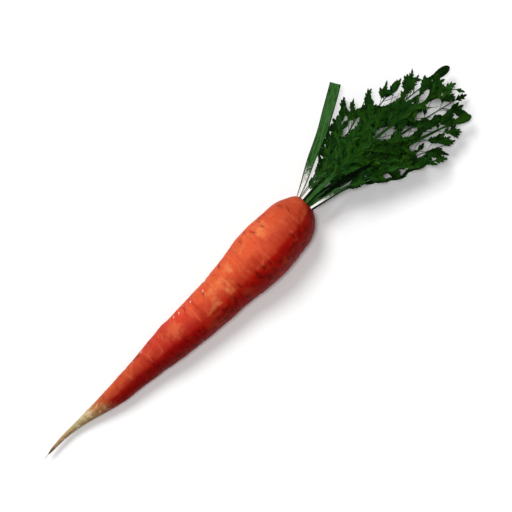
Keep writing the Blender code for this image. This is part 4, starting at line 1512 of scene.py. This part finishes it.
def make_clipped_stalk(settings):
    """The broad leaf stalk cut off short, channelled and ribbed."""
    last = CLIPPED_STATIONS - 1
    columns = [tuple(enumerate(column)) for column in zip(*CLIPPED_LINE)]
    steps = [(len(CLIPPED_LINE) - 1) * k / last for k in range(CLIPPED_STATIONS)]
    spots = [Vector((along(columns[0], step), along(columns[1], step))) for step in steps]
    stations = []
    travelled = 0.0
    for k, spot in enumerate(spots):
        before, after = spots[max(k - 1, 0)], spots[min(k + 1, last)]
        heading = (after - before).normalized()
        travelled += (spot - before).length
        half = along(columns[2], steps[k])
        centre = Vector((*spot, clipped_height(*spot)))
        side = Vector((-heading.y, heading.x, 0.0))
        thick = 0.5 * CLIPPED_THICKNESS
        stations.append((centre, side, Vector((0, 0, 1)), half, thick, travelled * UV_PER_METRE))
    lean = math.atan2(spots[-1].y - spots[0].y, spots[-1].x - spots[0].x)
    material = stalk_material(settings, "stalk_green_live", CLIPPED_RIBS, lean)
    profile = stalk_profile(CLIPPED_CHANNEL, CLIPPED_SIDE_POINTS)
    made = tube_loft("clipped_stalk_raw", stations, material, profile, 0.0)
    stalk = plain_copy(made, "clipped_stalk_ribbed")
    discard(made)
    return stalk


def dress(piece, slot, *nodes):
    """Moves the finished piece with the root and hides the parts that it stands for."""
    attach(piece, "root")
    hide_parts(*nodes)


def count_property(name, description, default):
    return IntProperty(name=name, description=description, default=default)


def number_property(name, description, default, **more):
    return FloatProperty(name=name, description=description, default=default, **more)


def length_property(name, description, default):
    return number_property(name, description, default, unit="LENGTH")


def angle_property(name, description, default):
    return number_property(name, description, default, subtype="ANGLE")


def share_property(name, description, default):
    return number_property(name, description, default, subtype="FACTOR", min=0.0, max=1.0)


def colour_property(name, description, default):
    limits = {"subtype": "COLOR", "min": 0.0, "max": 1.0}
    return FloatVectorProperty(name=name, description=description, default=default, **limits)


class CarrotRootSettings(PropertyGroup):
    seed: count_property("Seed", "Seed of the small creases", 7)
    rows: count_property("Rows", "Rows of faces along the root", ROOT_ROWS)
    sides: count_property("Sides", "Faces round the root", ROOT_SIDES)
    crease_count: count_property("Small Creases", "Short creases scattered over the skin", 170)
    rootlet_count: count_property("Rootlets", "Dry rootlets on the skin", 20)
    lump_height: length_property("Lump Height", "Height of the soft lumps", 0.00026)
    wrinkle_height: length_property("Wrinkle Height", "Height of the growth rings", 0.00009)
    skin_colour: colour_property("Skin Colour", "Main colour of the skin", (0.645, 0.093, 0.0320))
    # Dark red painted as shade on the far flank
    flank_colour: colour_property("Flank Colour", "Deep red of the far flank", (0.215, 0.0025, 0.0012))


class CarrotLeafSettings(PropertyGroup):
    seed: count_property("Seed", "Seed of the leaflets' tilt and tint", 3)
    leaflet_size: number_property("Leaflet Size", "Length of the leaflets against the frame's", 1.10)
    leaflet_thickness: length_property("Leaflet Thickness", "Thickness of a blade", 0.00025)
    leaflet_tilt: angle_property("Leaflet Tilt", "How far a leaflet may tilt", 0.20)
    leaflet_lean: number_property("Leaflet Lean", "Angle of the leaflets against the frame's", 0.62)
    second_leaflets: share_property("Second Leaflets", "Share of rib steps with a second pair", 0.95)
    low_start: length_property("Low Start", "Where the lowest leaflets stand, from the crown", 0.009)
    forward_pull: number_property("Forward Pull", "Degrees that leaflets are swung towards the tip", 11.0)
    cover_step: length_property("Cover Step", "Distance between leaflets laid over the rachis", 0.0016)
    between_leaflets: share_property("Between Leaflets", "Share of gaps on the rachis with a leaflet", 0.9)
    leaf_colour: colour_property("Leaf Colour", "Main green of the blades", (0.0075, 0.044, 0.0028))
    leaf_light_colour: colour_property(
        "Light Leaf Colour", "Green of the lightest blades", (0.0210, 0.076, 0.0060)
    )
    stalk_colour: colour_property("Stalk Colour", "Green of the stalks", (0.032, 0.108, 0.022))
    pith_colour: colour_property(
        "Pale Stalk Colour", "Colour of a stalk's channel near the crown", (0.90, 0.92, 0.84)
    )


class CarrotStageSettings(PropertyGroup):
    paper_white: share_property("Paper White", "Lightness of the floor", 0.92)
    sun_strength: number_property("Sun Strength", "Strength of the key light", 2.05)
    sun_softness: angle_property("Sun Softness", "Angle that the key light fills", 0.42)
    fill_strength: number_property("Fill Strength", "Strength of the broad overhead light", 1.10)
    fill_softness: angle_property("Fill Softness", "Angle that the overhead light fills", 0.18)
    sky_strength: number_property("Sky Strength", "Strength of the sky", 0.28)
    camera_height: length_property("Camera Height", "Camera above the table", 1.80)
    field: length_property("Field", "Width of the view at the table", 0.2954)


class CARROT_OT_root(Operator):
    """Makes the root's skin over its solid"""

    bl_idname = "carrot.make_root"
    bl_label = "Make Root"

    def execute(self, context):
        skin = make_root_skin(context.scene.carrot_root)
        dress(skin, "root_skin", "taproot")
        return {"FINISHED"}


class CARROT_OT_clipped_stalk(Operator):
    """Makes the broad stalk that is cut off short"""

    bl_idname = "carrot.make_clipped_stalk"
    bl_label = "Make Clipped Stalk"

    def execute(self, context):
        stalk = make_clipped_stalk(context.scene.carrot_leaf)
        dress(stalk, "stalk_green", "clipped_stalk")
        return {"FINISHED"}


class CARROT_OT_fronds(Operator):
    """Makes the fronds with their ribs and leaflets"""

    bl_idname = "carrot.make_fronds"
    bl_label = "Make Fronds"

    def execute(self, context):
        settings = context.scene.carrot_leaf
        tree, sockets = frond_tree()
        outlines = enumerate(LEAFLET_OUTLINES)
        shapes = [leaflet_object(kind, half, settings.leaflet_thickness) for kind, half in outlines]
        leaf = leaf_material(settings)
        stalk = stalk_material(settings, "rachis_green_live", RACHIS_RIBS)
        for spec in FRONDS:
            frond = make_frond(spec, settings, tree, sockets, shapes, leaf, stalk)
            dress(frond, "leaf_green", spec[0])
        discard(*shapes)
        return {"FINISHED"}


class CARROT_OT_stage(Operator):
    """Makes the pale floor, the soft lights and the camera overhead"""

    bl_idname = "carrot.make_stage"
    bl_label = "Make Stage"

    def execute(self, context):
        scene = context.scene
        settings = scene.carrot_stage
        half = FLOOR_HALF
        corners = [(-half, -half, 0), (half, -half, 0), (half, half, 0), (-half, half, 0)]
        floor = new_mesh_object("studio_floor", corners, [(0, 1, 2, 3)], [floor_material(settings)])
        world = bpy.data.worlds.new("studio_sky")
        world.use_nodes = True
        sky = world.node_tree.nodes["Background"].inputs
        sky["Color"].default_value = (1, 1, 1, 1)
        sky["Strength"].default_value = settings.sky_strength
        scene.world = world
        self.add_light("key_light", settings.sun_strength, settings.sun_softness, KEY_FROM)
        self.add_light("fill_light", settings.fill_strength, settings.fill_softness, FILL_FROM)
        self.add_camera(scene, settings)
        scene.view_settings.view_transform = "Standard"
        return {"FINISHED"}

    def add_light(self, name, strength, softness, source):
        data = bpy.data.lights.new(name, "SUN")
        data.energy = strength
        data.angle = softness
        light = place_object(name, data)
        light.rotation_euler = Vector(source).to_track_quat("Z", "Y").to_euler()

    def add_camera(self, scene, settings):
        """Overhead, turned so that the root runs from the lower left to the upper right."""
        per_px = ROOT_LENGTH / ROOT_SPAN_PX
        offset = Vector((MIDDLE_PX[0] - TIP_PX[0], TIP_PX[1] - MIDDLE_PX[1])) * per_px
        tip = Vector((-REST_SHARE * ROOT_LENGTH, root_middle(0.0)[0] - REST_ACROSS))
        angle = math.atan2(*reversed(ROOT_WAY_PX))
        right = Vector((math.cos(angle), -math.sin(angle), 0.0))
        up = Vector((math.sin(angle), math.cos(angle), 0.0))
        aim = Vector((*tip, 0.0)) + right * offset.x + up * offset.y
        data = bpy.data.cameras.new("overhead_camera")
        data.sensor_width = SENSOR_WIDTH
        data.lens = SENSOR_WIDTH * settings.camera_height / settings.field
        camera = place_object("overhead_camera", data)
        back = Vector((0, 0, 1))
        turn = Matrix((right, up, back)).transposed().to_4x4()
        camera.matrix_world = Matrix.Translation(aim + back * settings.camera_height) @ turn
        scene.camera = camera


class CARROT_PT_panel(Panel):
    """Settings and makers of the carrot"""

    bl_label = "Carrot"
    bl_idname = "CARROT_PT_panel"
    bl_space_type = "VIEW_3D"
    bl_region_type = "UI"
    bl_category = "Carrot"

    def draw(self, context):
        scene = context.scene
        for group, operators in PANEL_ROWS:
            box = self.layout.box()
            settings = getattr(scene, group)
            for name in settings.bl_rna.properties.keys():
                if name not in ("rna_type", "name"):
                    box.prop(settings, name)
            for operator in operators:
                box.operator(operator.bl_idname)


PANEL_ROWS = (
    ("carrot_root", (CARROT_OT_root,)),
    ("carrot_leaf", (CARROT_OT_clipped_stalk, CARROT_OT_fronds)),
    ("carrot_stage", (CARROT_OT_stage,)),
)
CLASSES = (
    CarrotRootSettings,
    CarrotLeafSettings,
    CarrotStageSettings,
    CARROT_OT_root,
    CARROT_OT_clipped_stalk,
    CARROT_OT_fronds,
    CARROT_OT_stage,
    CARROT_PT_panel,
)


def register():
    for made in CLASSES:
        bpy.utils.register_class(made)
    bpy.types.Scene.carrot_root = PointerProperty(type=CarrotRootSettings)
    bpy.types.Scene.carrot_leaf = PointerProperty(type=CarrotLeafSettings)
    bpy.types.Scene.carrot_stage = PointerProperty(type=CarrotStageSettings)


def unregister():
    for name in ("carrot_root", "carrot_leaf", "carrot_stage"):
        delattr(bpy.types.Scene, name)
    for made in reversed(CLASSES):
        bpy.utils.unregister_class(made)


def main():
    register()
    bpy.ops.carrot.make_stage()
    bpy.ops.carrot.make_root()
    bpy.ops.carrot.make_clipped_stalk()
    bpy.ops.carrot.make_fronds()
    bpy.context.view_layer.update()


if __name__ == "__main__":
    main()
